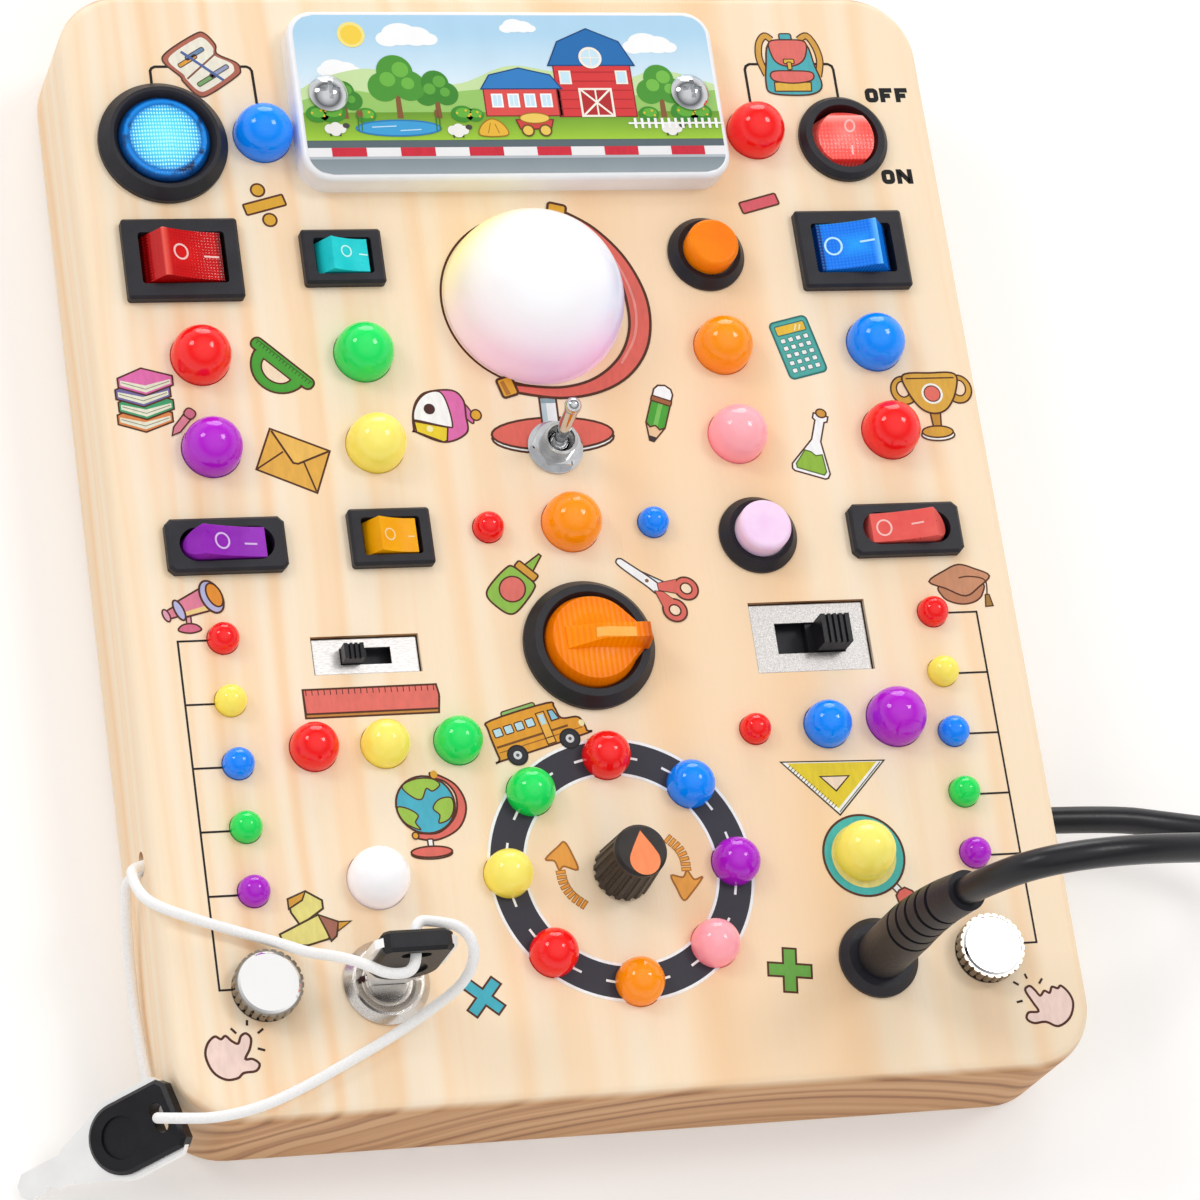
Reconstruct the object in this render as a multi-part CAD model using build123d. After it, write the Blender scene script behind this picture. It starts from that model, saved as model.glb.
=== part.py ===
"""Wooden busy board: a routed pine block that carries small electrical controls.

Millimetres. The board lies on its back: +X right, +Y towards the picture plate,
+Z out of the face. The origin is the centre of the back, which rests at z = 0.
Each control is modelled about its own axis with z = 0 at the board's face, and
`on_face` carries it to its place.
"""
from build123d import *
import math
import os

# ---------------------------------------------------------------- board
BOARD_W = 158.0            # overall width
BOARD_H = 203.0            # overall height
BOARD_T = 25.0             # overall thickness
CORNER_R = 12.0            # plan corners
EDGE_R = 2.0               # rounded-over edges
RIM_W = 6.5                # solid wood round the pocket
POCKET_R = 14.0            # pocket corners, left thick for the cover screws
PANEL_T = 5.0              # wood left in front of the pocket
FIT = 0.10                 # gap round a piece pushed into its hole
RUNNING = 0.06             # radial gap of a moving piece in its guide

COVER_T = 2.0              # back cover
COVER_LEDGE = 3.5          # how far the cover laps onto the rim
COVER_SET_IN = 0.5         # cover below the wood's back face
COVER_SCREW_R = 1.4
COVER_SCREW_LEN = 8.0
COVER_SCREW_HEAD_R = 2.4
COVER_SCREW_IN = 8.5       # corner screws, in from both edges
BOSS_R = 4.5               # wood left for the two screws at mid-length
BOSS_SET_OUT = 1.0         # their middle, in from the pocket's wall
BOSS_ROW = 0.2296          # their place along the board, a share of half its height

# ---------------------------------------------------------------- layout on the face
# The outer columns keep their distance from the board's sides. The rows, and what stands
# between the columns, spread with the board.


def row(share):
    return share * BOARD_H / 2


def across(share):
    return share * BOARD_W / 2


def from_side(margin):
    return BOARD_W / 2 - margin


BLUE_BUTTON_AT = (-from_side(16.2), row(0.7103))
POWER_SWITCH_AT = (from_side(17.4), row(0.7103))
RED_ROCKER_AT = (-from_side(17.0), row(0.4897))
BLUE_ROCKER_AT = (from_side(19.5), row(0.4916))
TEAL_ROCKER_AT = (across(-0.4291), row(0.4897))
ORANGE_BUTTON_AT = (across(0.4076), row(0.4897))
DOME_AT = (-0.8, row(0.4089))
TOGGLE_AT = (-0.7, row(0.1340))
PURPLE_ROCKER_AT = (-from_side(18.5), row(-0.0286))
AMBER_ROCKER_AT = (across(-0.4063), row(-0.0236))
PINK_BUTTON_AT = (across(0.4215), row(-0.0374))
CORAL_ROCKER_AT = (from_side(18.8), row(-0.0384))
SELECTOR_AT = (0.0, row(-0.2256))
SMALL_SLIDE_AT = (across(-0.4899), row(-0.2246))
LARGE_SLIDE_AT = (across(0.5076), row(-0.2227))
LAMP_RING_AT = (0.0, row(-0.6167))
DIAL_AT = (0.0, LAMP_RING_AT[1] - 0.6)
LOCK_AT = (across(-0.5405), row(-0.7862))
SOCKET_AT = (across(0.5354), row(-0.7951))
LEFT_TAP_AT = (-from_side(16.2), row(-0.7842))
RIGHT_TAP_AT = (from_side(17.2), row(-0.7941))
PLATE_AT = (-0.7, row(0.7793))

LED_OUTER_X = from_side(18.2)     # columns of the two rows of large lamps
LED_INNER_X = across(0.4101)
LED_ROWS_Y = (row(0.3133), row(0.1468))
TALLY_X = from_side(16.2)         # the columns of five small lamps
TALLY_TOP_Y = row(-0.1892)
TALLY_PITCH = 11.0
LAMP_RING_R = 19.8                # eight lamps round the dial
COUNT_ROW_Y = row(-0.3842)        # the row of lamps between the tally columns
TOP_LEFT_LED_AT = (BLUE_BUTTON_AT[0] + 17.7, row(0.7251))
TOP_RIGHT_LED_AT = (POWER_SWITCH_AT[0] - 16.5, row(0.7251))
CENTRE_LED_AT = (0.0, row(-0.0059))
SIDE_LED_X = 14.7                 # small lamps either side of the centre lamp
COUNT_LEFT = (13.0, 25.1, 37.6)   # lamps of the counting row, in from the left tally column
COUNT_RIGHT = (10.2, 22.7, 35.7)  # and in from the right one
LARGE_LED_AT = [
    TOP_LEFT_LED_AT, TOP_RIGHT_LED_AT, CENTRE_LED_AT, (TALLY_X - COUNT_RIGHT[0], row(-0.3773)),
    (across(-0.5304), row(-0.6128)), (across(0.5430), row(-0.6108)),
]
LARGE_LED_AT += [(side * x, y) for y in LED_ROWS_Y for x in (LED_OUTER_X, LED_INNER_X) for side in (-1, 1)]
MEDIUM_LED_AT = [(reach - TALLY_X, COUNT_ROW_Y) for reach in COUNT_LEFT]
MEDIUM_LED_AT += [(TALLY_X - COUNT_RIGHT[1], COUNT_ROW_Y)]
for angle in range(0, 360, 45):
    x, y = math.sin(math.radians(angle)), math.cos(math.radians(angle))
    MEDIUM_LED_AT.append((LAMP_RING_AT[0] + LAMP_RING_R * x, LAMP_RING_AT[1] + LAMP_RING_R * y))
SMALL_LED_AT = [(side * SIDE_LED_X, CENTRE_LED_AT[1] - 0.3) for side in (-1, 1)]
SMALL_LED_AT += [(TALLY_X - COUNT_RIGHT[2], COUNT_ROW_Y - 0.2)]
SMALL_LED_AT += [(side * TALLY_X, TALLY_TOP_Y - TALLY_PITCH * step) for step in range(5) for side in (-1, 1)]

# ---------------------------------------------------------------- lamps
LED_SIZES = {"large_leds": (5.1, 1.5), "medium_leds": (4.05, 1.2),
             "small_leds": (2.65, 0.8)}  # radius, dome base
LED_FLANGE_W = 0.45
LED_FLANGE_T = 1.4
LEAD_W = 0.5
LEAD_SPREAD = 1.27
PCB_TOP = -10.0            # circuit board, from the face
PCB_T = 1.6
PCB_GAP = 0.6              # round what passes through it
PCB_NOTCH = 14.0           # room for the power lead's knot
DOME_R = 16.0
DOME_WALL = 1.5
DOME_SPIGOT = 3.0
DOME_PCB_T = 1.2
DOME_WIRE_R = 5.0          # hole for its wires in the circuit board

# ---------------------------------------------------------------- rocker switches
# length and width of the paddle's opening, bezel length and width, ridge to axis,
# rise of the ridge above the axis, half swing in degrees, axis below the face
ROCKER_SHAPES = {
    "large": dict(opening=(15.0, 9.6), bezel=(20.2, 15.0), ridge=5.4, rise=5.6, swing=15.0, axis_z=-1.9),
    "small": dict(opening=(10.2, 6.8), bezel=(14.2, 10.3), ridge=3.4, rise=4.3, swing=14.0, axis_z=-1.5),
    "oval": dict(opening=(16.2, 6.0), bezel=(20.4, 9.6), ridge=5.6, rise=4.8, swing=13.0, axis_z=-1.3),
    "round": dict(opening=(12.4, 12.4), bezel=(16.6, 16.6), ridge=4.0, rise=4.2, swing=10.0, axis_z=-1.4),
}
BEZEL_T = 2.0
ROCKER_BODY_INSET = 1.1    # body inside the bezel's edge
ROCKER_DEPTH = 13.0
ROCKER_WELL = 8.5
PADDLE_GAP = 0.35
PADDLE_DIP = 0.45          # hollow of the paddle's top
PIN_R = 1.0
PIN_REACH = 0.8
BLADE = (0.8, 4.0, 5.0)    # switch terminal
BLADE_SPREAD = 2.6         # terminals of the round controls, from the axis
ROUND_TAPER = 0.8

# ---------------------------------------------------------------- push buttons
BLUE_BEZEL_R = 11.3
BLUE_BEZEL_T = 3.0
BLUE_LENS_R = 8.0
BLUE_BUSHING_R = 9.5
BLUE_TRAVEL = 2.5
PUSH_BEZEL_R = 7.0
PUSH_BEZEL_T = 2.4
PUSH_CAP_R = 4.65
PUSH_CAP_TOP = 5.5
PUSH_BUSHING_R = 5.9
PUSH_TRAVEL = 2.5
PUSH_DEPTH = 13.0
NUT_T = 2.0
NUT_WALLS = 3.0            # across flats, over the body it grips
TAP_R = 5.7
TAP_TOP = 3.4
TAP_BEZEL_T = 0.3
TAP_TRAVEL = 0.5
TAP_STEM_R = 3.0
TAP_SWITCH_R = 5.2
KNURLS = 26

# ---------------------------------------------------------------- toggle, slides, knobs
TOGGLE_BUSHING_R = 3.0
TOGGLE_BUSHING_TOP = 4.4
TOGGLE_PIVOT_Z = 2.4
TOGGLE_SWING = 11.0
TOGGLE_REACH = 12.4        # pivot to tip
TOGGLE_BALL_R = 1.75
TOGGLE_NUT_AF = 8.0
TOGGLE_CAN = (8.0, 13.0)
SLIDE_SHAPES = {           # plate, window, knob, knob height, travel either side of the middle
    "small": dict(plate=(18.4, 6.6), window=(8.8, 3.0), knob=(3.4, 2.7), rise=3.0, travel=2.55, ribs=4),
    "large": dict(plate=(21.0, 12.7), window=(12.3, 5.6), knob=(5.2, 5.2), rise=4.6, travel=3.4, ribs=5),
}
SLIDE_PLATE_T = 0.5
SLIDE_SET_IN = 0.8         # plate below the face
SLIDE_CAN_DEPTH = 6.5
SLIDE_CAN_INSET = 1.2
SELECTOR_BEZEL_R = 11.5
SELECTOR_BEZEL_T = 3.0
SELECTOR_LENS_R = 8.1
SELECTOR_BUSHING_R = 9.9
SELECTOR_RIB = (2.8, 7.4, -5.0)   # width at the top, top above the face, where it fades into the lens
SELECTOR_TIP = 9.4                # the pointer's end from the axis
DIAL_BASE_R = 5.15
DIAL_TOP_R = 4.45
DIAL_TOP = 11.8
DIAL_SHAFT_R = 3.0
DIAL_FLUTES = 18
POT_R = 8.0
POT_T = 7.0

# ---------------------------------------------------------------- lock and keys
LOCK_FLANGE_R = 7.2
LOCK_FLANGE_T = 1.8
LOCK_BARREL_R = 5.9
LOCK_CORE_R = 3.45
LOCK_DISH_R = 5.5
LOCK_DISH_T = 0.9          # the dish's floor above the face
LOCK_DEPTH = 14.0
KEY_BLADE = (5.0, 9.4, 1.5)       # width, length, thickness
KEY_BOW_R = 5.9
KEY_BOW_LEN = 16.4
KEY_BOW_T = 3.6
KEY_NECK = 5.2                    # shoulder to the moulded bow
KEY_RIM = 0.9                     # metal showing round the bow
KEY_BEVEL = 0.6
KEY_SLOT = (5.0, 2.3)
KEY_SLOT_FROM_END = 2.9
KEY_FIT = 0.12

# ---------------------------------------------------------------- plug and cable
SOCKET_FLANGE_R = 6.9
SOCKET_FLANGE_T = 2.2
SOCKET_BUSHING_R = 5.4
SOCKET_DEPTH = 13.0
PLUG_BARREL_R = 2.75
PLUG_BARREL_LEN = 9.5
PLUG_BARREL_BORE_R = 1.3
PLUG_BODY_R = 4.4
PLUG_BODY_LEN = 15.4
PLUG_RELIEF_LEN = 22.0
PLUG_RELIEF_END_R = 3.4
PLUG_CORE_R = 3.1          # inside the relief's grooves
PLUG_GROOVES = 5
PLUG_GROOVE_W = 0.8
PLUG_GROOVE_PITCH = 3.6
PLUG_LEAN = (1.6, -1.2)    # the lead's weight bends the relief this far
CABLE_R = 2.4
CABLE_STRAIGHT = 8.5       # straight out of the relief
CABLE_HOLE_AT = (BOARD_W / 2, -54.0, 13.0)
GROMMET_R = 3.6
GROMMET_FLANGE_R = 4.8
GROMMET_FLANGE_T = 1.2
CORD_R = 0.9
CORD_HOLE_AT = (-BOARD_W / 2, -55.0, 17.4)
CORD_HOLE_R = 2.1

# ---------------------------------------------------------------- picture plate and battery
PLATE_GAP = 0.4            # to the lamp on its left
PLATE_W = 2 * (PLATE_AT[0] - TOP_LEFT_LED_AT[0] - LED_SIZES["large_leds"][0] - PLATE_GAP)
PLATE_SIZE = (PLATE_W, 33.0, 5.0)
PLATE_CORNER_R = 5.0
PLATE_SCREW_IN = 5.9       # screws, in from the plate's ends
PLATE_SCREW_X = PLATE_W / 2 - PLATE_SCREW_IN
PLATE_SCREW_R = 1.6
PLATE_SCREW_HEAD_R = 3.5
PLATE_SCREW_HEAD_T = 2.2
PLATE_SCREW_LEN = 9.0
CELL_R = 5.2
CELL_LEN = 43.0
CELL_NUB = (1.9, 1.0)
TRAY_WALL = 1.2
DOOR_GRIP = (0.8, 12.0, 1.0, 4)   # thumb grooves: width, length, depth, how many
DOOR_GRIP_PITCH = 2.4
CONTACT_PLATE = (0.4, 9.0)        # thickness, side
CONTACT_DIMPLE_R = 2.2
SPRING_R = (3.6, 2.0)             # at the plate, at the cell
SPRING_LEN = 4.4                  # pressed, with the cell in; the dimple reaches as far
TRAY_SIZE = (CELL_LEN + CELL_NUB[1] + 2 * (SPRING_LEN + CONTACT_PLATE[0] + TRAY_WALL), 25.0, 12.5)
TRAY_Y = PLATE_AT[1] - 2.1

POCKET = (BOARD_W - 2 * RIM_W, BOARD_H - 2 * RIM_W)
CEILING = -PANEL_T                # the pocket's ceiling, from the face
COVER_TOP = COVER_SET_IN + COVER_T
UP = (Align.CENTER, Align.CENTER, Align.MIN)


# ---------------------------------------------------------------- helpers
def on_face(shape, spot):
    """Carry a control from its own axis to its place on the face."""
    return Pos(spot[0], spot[1], BOARD_T) * shape


def disc(radius, low, high):
    return Pos(0, 0, low) * Cylinder(radius, high - low, align=UP)


def ring(outer, inner, low, high):
    return disc(outer, low, high) - disc(inner, low - 1, high + 1)


def block(length, width, low, high, corner=0.0):
    if corner:
        outline = RectangleRounded(length, width, corner)
    else:
        outline = Rectangle(length, width)
    return Pos(0, 0, low) * extrude(outline, high - low)


def turned(*points):
    """A solid of revolution about Z from its half outline (radius, z)."""
    outline = Polyline(*[(r, 0, z) for r, z in points], close=True)
    return revolve(make_face(outline), Axis.Z, 360)


def hexagon(across_flats, low, high):
    return Pos(0, 0, low) * extrude(RegularPolygon(across_flats / 2, 6, major_radius=False), high - low)


def tube(points, radius, label):
    """A cord's plain tube: straight runs joined by arcs as large as they allow."""
    knots = [Vector(*p) for p in points]
    radii = []
    for before, here, after in zip(knots, knots[1:], knots[2:]):
        turn = math.radians((here - before).get_angle(after - here))
        shorter = min((here - before).length, (after - here).length)
        radii.append(0.45 * shorter / math.tan(turn / 2))
    route = FilletPolyline(*points, radius=radii)
    start = Plane(origin=knots[0], z_dir=knots[1] - knots[0])
    solid = sweep(start * Circle(radius), path=route)
    expected = math.pi * radius**2 * route.length
    print(f"{label}: length {route.length:.1f}, radii {[round(r, 1) for r in radii]}, "
          f"volume {solid.volume:.1f} of {expected:.1f}")
    return solid


# ---------------------------------------------------------------- wood and back
def rocker_spots():
    return {
        "large": [RED_ROCKER_AT, BLUE_ROCKER_AT],
        "small": [TEAL_ROCKER_AT, AMBER_ROCKER_AT],
        "oval": [PURPLE_ROCKER_AT, CORAL_ROCKER_AT],
        "round": [POWER_SWITCH_AT],
    }


def rocker_body_plan(kind, grow=0.0):
    """Outline of the switch body that passes through the panel."""
    length, width = ROCKER_SHAPES[kind]["bezel"]
    if kind == "round":
        return Circle(length / 2 - ROCKER_BODY_INSET + grow)
    return Rectangle(length - 2 * ROCKER_BODY_INSET + 2 * grow, width - 2 * ROCKER_BODY_INSET + 2 * grow)


def round_bodies():
    """Round controls: (place, radius through the panel, radius of the body that passes the circuit board)."""
    push, tap = (PUSH_BUSHING_R, PUSH_BUSHING_R), (TAP_STEM_R + 1, TAP_SWITCH_R)
    return [
        (BLUE_BUTTON_AT, BLUE_BUSHING_R, BLUE_BUSHING_R), (ORANGE_BUTTON_AT, *push), (PINK_BUTTON_AT, *push),
        (SELECTOR_AT, SELECTOR_BUSHING_R, SELECTOR_BUSHING_R), (DIAL_AT, DIAL_SHAFT_R + 1, POT_R),
        (TOGGLE_AT, TOGGLE_BUSHING_R, math.hypot(*TOGGLE_CAN) / 2), (LOCK_AT, LOCK_BARREL_R, LOCK_BARREL_R),
        (SOCKET_AT, SOCKET_BUSHING_R, SOCKET_BUSHING_R), (LEFT_TAP_AT, *tap), (RIGHT_TAP_AT, *tap),
        (DOME_AT, DOME_R - DOME_WALL, DOME_WIRE_R),
    ]


def round_holes():
    """Every round hole through the panel: (place, radius)."""
    holes = [(spot, radius) for spot, radius, _ in round_bodies()]
    for name, spots in led_spots().items():
        holes += [(spot, LED_SIZES[name][0]) for spot in spots]
    return holes


def led_spots():
    return {"large_leds": LARGE_LED_AT, "medium_leds": MEDIUM_LED_AT, "small_leds": SMALL_LED_AT}


def panel_cuts(grow, low, high):
    """Tools that cut the controls' holes from the panel or the circuit board."""
    cuts = [Pos(x, y) * disc(r + grow, low, high) for (x, y), r in round_holes()]
    for kind, spots in rocker_spots().items():
        tool = Pos(0, 0, low) * extrude(rocker_body_plan(kind, grow), high - low)
        cuts += [Pos(*spot) * tool for spot in spots]
    for kind, spot in (("small", SMALL_SLIDE_AT), ("large", LARGE_SLIDE_AT)):
        length, width = SLIDE_SHAPES[kind]["plate"]
        cuts.append(Pos(*spot) * block(length + 2 * grow, width + 2 * grow, low, high))
    return cuts


def cover_screw_spots():
    x, y = BOARD_W / 2 - COVER_SCREW_IN, BOARD_H / 2 - COVER_SCREW_IN
    return [(sx * x, sy * y) for sx in (-1, 1) for sy in (-1, 1)] + boss_spots()


def boss_spots():
    return [(side * (POCKET[0] / 2 - BOSS_SET_OUT), row(BOSS_ROW)) for side in (-1, 1)]


def wood_body():
    wood = extrude(RectangleRounded(BOARD_W, BOARD_H, CORNER_R), BOARD_T)
    wood = fillet(wood.edges().group_by(Axis.Z)[0] + wood.edges().group_by(Axis.Z)[-1], EDGE_R)
    pocket = block(POCKET[0], POCKET[1], -1, BOARD_T - PANEL_T, POCKET_R)
    wood -= pocket - [Pos(x, y) * disc(BOSS_R, COVER_TOP, BOARD_T) for x, y in boss_spots()]
    wood -= block(POCKET[0] + 2 * COVER_LEDGE, POCKET[1] + 2 * COVER_LEDGE, -1, COVER_TOP,
                  CORNER_R - COVER_LEDGE)
    cuts = panel_cuts(FIT, BOARD_T - PANEL_T - 1, BOARD_T + 1)
    for x, y in cover_screw_spots():
        cuts.append(Pos(x, y) * disc(COVER_SCREW_R + FIT, 0, COVER_SET_IN + COVER_SCREW_LEN + FIT))
    for side in (-1, 1):
        cuts.append(Pos(PLATE_AT[0] + side * PLATE_SCREW_X, PLATE_AT[1]) * disc(PLATE_SCREW_R + FIT,
                BOARD_T - PANEL_T - 1, BOARD_T + 1))
    cuts.append(Pos(*CORD_HOLE_AT) * Rot(0, 90, 0) * Cylinder(CORD_HOLE_R, 3 * RIM_W))
    cuts.append(Pos(*CABLE_HOLE_AT) * Rot(0, 90, 0) * Cylinder(GROMMET_R + FIT, 3 * RIM_W))
    return wood - cuts


def door_plan(grow=0.0):
    return block(TRAY_SIZE[0] - 2 * TRAY_WALL + 2 * grow, TRAY_SIZE[1] - 2 * TRAY_WALL + 2 * grow,
                 COVER_SET_IN, COVER_TOP)


def back_cover():
    cover = block(
        POCKET[0] + 2 * (COVER_LEDGE - FIT), POCKET[1] + 2 * (COVER_LEDGE - FIT), COVER_SET_IN, COVER_TOP,
        CORNER_R - COVER_LEDGE
    )
    cover -= Pos(0, TRAY_Y) * door_plan()
    holes = [Pos(x, y) * cover_screw(COVER_SCREW_R + FIT, COVER_SCREW_HEAD_R + FIT, COVER_SCREW_LEN)
             for x, y in cover_screw_spots()]
    return cover - holes


def cover_screw(shank_r, head_r, length):
    """Countersunk screw driven from the back, head flush with the cover."""
    z = COVER_SET_IN
    return turned((0, z), (head_r, z), (head_r, z + 0.3), (shank_r, z + 0.3 + head_r - shank_r),
                  (shank_r, z + length), (0, z + length))


def cover_screws():
    drive = Pos(0, 0, COVER_SET_IN) * (Box(2.6, 0.7, 1.4) + Box(0.7, 2.6, 1.4))
    screw = cover_screw(COVER_SCREW_R, COVER_SCREW_HEAD_R, COVER_SCREW_LEN) - drive
    return [Pos(x, y) * screw for x, y in cover_screw_spots()]


def battery_door():
    door = Pos(0, TRAY_Y) * door_plan(-FIT)
    width, length, depth, count = DOOR_GRIP
    x = TRAY_SIZE[0] / 2 - TRAY_WALL - 3 * DOOR_GRIP_PITCH
    grips = [Pos(x - DOOR_GRIP_PITCH * i, TRAY_Y, COVER_SET_IN) * Box(width, length, depth)
             for i in range(count)]
    return door - grips


def battery_tray():
    length, width, height = TRAY_SIZE
    tray = block(length, width, COVER_TOP, COVER_TOP + height)
    tray -= block(length - 2 * TRAY_WALL, width - 2 * TRAY_WALL, COVER_TOP - 1,
                  COVER_TOP + height - TRAY_WALL)
    return Pos(0, TRAY_Y) * tray


def cell_spots():
    y = TRAY_SIZE[1] / 4 - TRAY_WALL / 2
    return [(TRAY_Y + y, 1), (TRAY_Y - y, -1)]


def batteries():
    cell = turned((0, 0), (CELL_R, 0), (CELL_R, CELL_LEN), (CELL_NUB[0], CELL_LEN),
                  (CELL_NUB[0], CELL_LEN + CELL_NUB[1]), (0, CELL_LEN + CELL_NUB[1]))
    middle = Pos(0, 0, -(CELL_LEN + CELL_NUB[1]) / 2) * cell
    return [Pos(0, y, COVER_TOP + TRAY_SIZE[2] / 2 - TRAY_WALL / 2) * Rot(0, 90 * way, 0) * middle
            for y, way in cell_spots()]


def battery_contacts():
    """A spring plate at the tray's far wall from each nub, and a flat plate at the nub."""
    thick, side = CONTACT_PLATE
    reach = TRAY_SIZE[0] / 2 - TRAY_WALL
    middle = reach - thick - SPRING_LEN / 2
    z = COVER_TOP + TRAY_SIZE[2] / 2 - TRAY_WALL / 2
    contacts = []
    for y, way in cell_spots():
        plate = Box(thick, side, side)
        dimple = Rot(0, 90, 0) * Cylinder(CONTACT_DIMPLE_R, SPRING_LEN)
        contacts.append(Pos(way * (reach - thick / 2), y, z) * plate + Pos(way * middle, y, z) * dimple)
        spring = Rot(0, 90 * way, 0) * Cone(*SPRING_R, SPRING_LEN)
        contacts.append(Pos(-way * (reach - thick / 2), y, z) * plate + Pos(-way * middle, y, z) * spring)
    return contacts


def circuit_board():
    """Carries every lamp; the switch bodies pass through it."""
    margin = 1.5
    board = block(POCKET[0] - 2 * margin, POCKET[1] - 2 * margin, PCB_TOP - PCB_T, PCB_TOP, POCKET_R - margin)
    board -= [Pos(*spot) * disc(r + PCB_GAP, PCB_TOP - PCB_T - 1, PCB_TOP + 1)
              for spot, _, r in round_bodies()]
    board -= [Pos(x, y) * disc(BOSS_R + PCB_GAP, PCB_TOP - PCB_T - 1, PCB_TOP + 1) for x, y in boss_spots()]
    for kind, spots in rocker_spots().items():
        tool = Pos(0, 0, PCB_TOP - PCB_T - 1) * extrude(rocker_body_plan(kind, PCB_GAP), PCB_T + 2)
        board -= [Pos(*spot) * tool for spot in spots]
    for kind, spot in (("small", SMALL_SLIDE_AT), ("large", LARGE_SLIDE_AT)):
        length, width = SLIDE_SHAPES[kind]["plate"]
        board -= Pos(*spot) * block(length + PCB_GAP, width + PCB_GAP, PCB_TOP - PCB_T - 1, PCB_TOP + 1)
    board -= Pos(0, TRAY_Y) * block(TRAY_SIZE[0] + 2, TRAY_SIZE[1] + 2, PCB_TOP - PCB_T - 1, PCB_TOP + 1)
    board -= Pos(CABLE_HOLE_AT[0] - RIM_W, CABLE_HOLE_AT[1]) * block(PCB_NOTCH, PCB_NOTCH,
            PCB_TOP - PCB_T - 1, PCB_TOP + 1)
    return Pos(0, 0, BOARD_T) * board


# ---------------------------------------------------------------- picture plate
def picture_plate():
    length, width, thick = PLATE_SIZE
    plate = block(length, width, 0, thick, PLATE_CORNER_R)
    plate = fillet(plate.edges().group_by(Axis.Z)[-1], 1.0)
    for side in (-1, 1):
        plate -= Pos(side * PLATE_SCREW_X, 0) * disc(PLATE_SCREW_R + FIT, -1, thick + 1)
    return on_face(plate, PLATE_AT)


def plate_screws():
    """Pan-head screws with a cross recess."""
    base = PLATE_SIZE[2]
    head = Pos(0, 0, base) * Cylinder(PLATE_SCREW_HEAD_R, 0.5, align=UP)
    dome_r = (PLATE_SCREW_HEAD_R**2 + (PLATE_SCREW_HEAD_T - 0.5) ** 2) / (2 * (PLATE_SCREW_HEAD_T - 0.5))
    cap = Pos(0, 0, base + PLATE_SCREW_HEAD_T - dome_r) * Sphere(dome_r) & disc(PLATE_SCREW_HEAD_R,
            base + 0.5, base + 4)
    screw = head + cap + disc(PLATE_SCREW_R, base - PLATE_SCREW_LEN, base)
    slot = Pos(0, 0, base + PLATE_SCREW_HEAD_T - 0.4) * Box(3.6, 0.8, 1.8)
    screw -= slot + Rot(0, 0, 90) * slot
    return [on_face(Pos(side * PLATE_SCREW_X, 0) * screw, PLATE_AT) for side in (-1, 1)]


# ---------------------------------------------------------------- lamps
def led(radius, dome_base):
    """A flanged round lamp, pushed through the panel from behind."""
    flange = radius + LED_FLANGE_W
    lamp = disc(radius, CEILING, dome_base) + disc(flange, CEILING - LED_FLANGE_T, CEILING)
    return lamp + (Pos(0, 0, dome_base) * Sphere(radius) & disc(radius + 1, dome_base,
            dome_base + radius + 1))


def lamps(name):
    lamp = led(*LED_SIZES[name])
    return [on_face(lamp, spot) for spot in led_spots()[name]]


def led_leads():
    low = PCB_TOP
    high = CEILING - LED_FLANGE_T
    lead = block(LEAD_W, LEAD_W, low, high)
    return [on_face(Pos(side * LEAD_SPREAD, 0) * lead, spot) for spots in led_spots().values()
            for spot in spots for side in (-1, 1)]


def dome_lens():
    shell = Sphere(DOME_R) - Sphere(DOME_R - DOME_WALL)
    shell &= disc(DOME_R + 1, 0, DOME_R + 1)
    spigot = ring(DOME_R - DOME_WALL, DOME_R - 2 * DOME_WALL, -DOME_SPIGOT, 0)
    lip = ring(DOME_R, DOME_R - 2 * DOME_WALL, 0, 1.0)
    return on_face(shell + lip + spigot, DOME_AT)


def dome_led_board():
    """Round board behind the dome with its colour-changing lamp."""
    board = disc(DOME_R - 2 * DOME_WALL - FIT, -DOME_SPIGOT - DOME_PCB_T + 1, 1 - DOME_SPIGOT)
    lamp = Pos(0, 0, 1 - DOME_SPIGOT) * Box(5, 5, 1.6, align=UP)
    posts = [Pos(*p) * disc(0.8, PCB_TOP, 1 - DOME_SPIGOT - DOME_PCB_T) for p in ((-9, 0), (9, 0))]
    return on_face(board + lamp + posts, DOME_AT)


# ---------------------------------------------------------------- rocker switches
def opening_plan(kind, grow=0.0):
    length, width = ROCKER_SHAPES[kind]["opening"]
    if kind == "round":
        return Circle(length / 2 + grow)
    if kind == "oval":
        return SlotOverall(length + 2 * grow, width + 2 * grow)
    return RectangleRounded(length + 2 * grow, width + 2 * grow, 0.6)


def rocker_housing(kind):
    """Bezel, body with its well, snap clips and the bearings of the paddle."""
    shape = ROCKER_SHAPES[kind]
    length, width = shape["bezel"]
    if kind == "round":
        bezel = turned((0, 0), (length / 2, 0), (length / 2, 0.9), (length / 2 - 0.9, BEZEL_T), (0, BEZEL_T))
    else:
        bezel = block(length, width, 0, BEZEL_T)
        corners = bezel.edges().filter_by(Axis.Z)
        bezel = chamfer(corners, 1.0) if kind == "oval" else fillet(corners, 0.6)
        bezel = chamfer(bezel.edges().group_by(Axis.Z)[-1], 0.5)
    body = extrude(rocker_body_plan(kind), -ROCKER_DEPTH)
    housing = bezel + body
    housing -= Pos(0, 0, -ROCKER_WELL) * extrude(opening_plan(kind), ROCKER_WELL + BEZEL_T + 1)
    reach = shape["opening"][1] / 2 + PIN_REACH
    housing -= Pos(0, 0, shape["axis_z"]) * Rot(90, 0, 0) * Cylinder(PIN_R + RUNNING, 2 * reach)
    plan = rocker_body_plan(kind).bounding_box()
    for side in (-1, 1):
        housing += Pos(side * (plan.max.X + 0.35), 0, CEILING - 1.55) * Box(1.3, 4.0, 3.0)
    return housing


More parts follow.
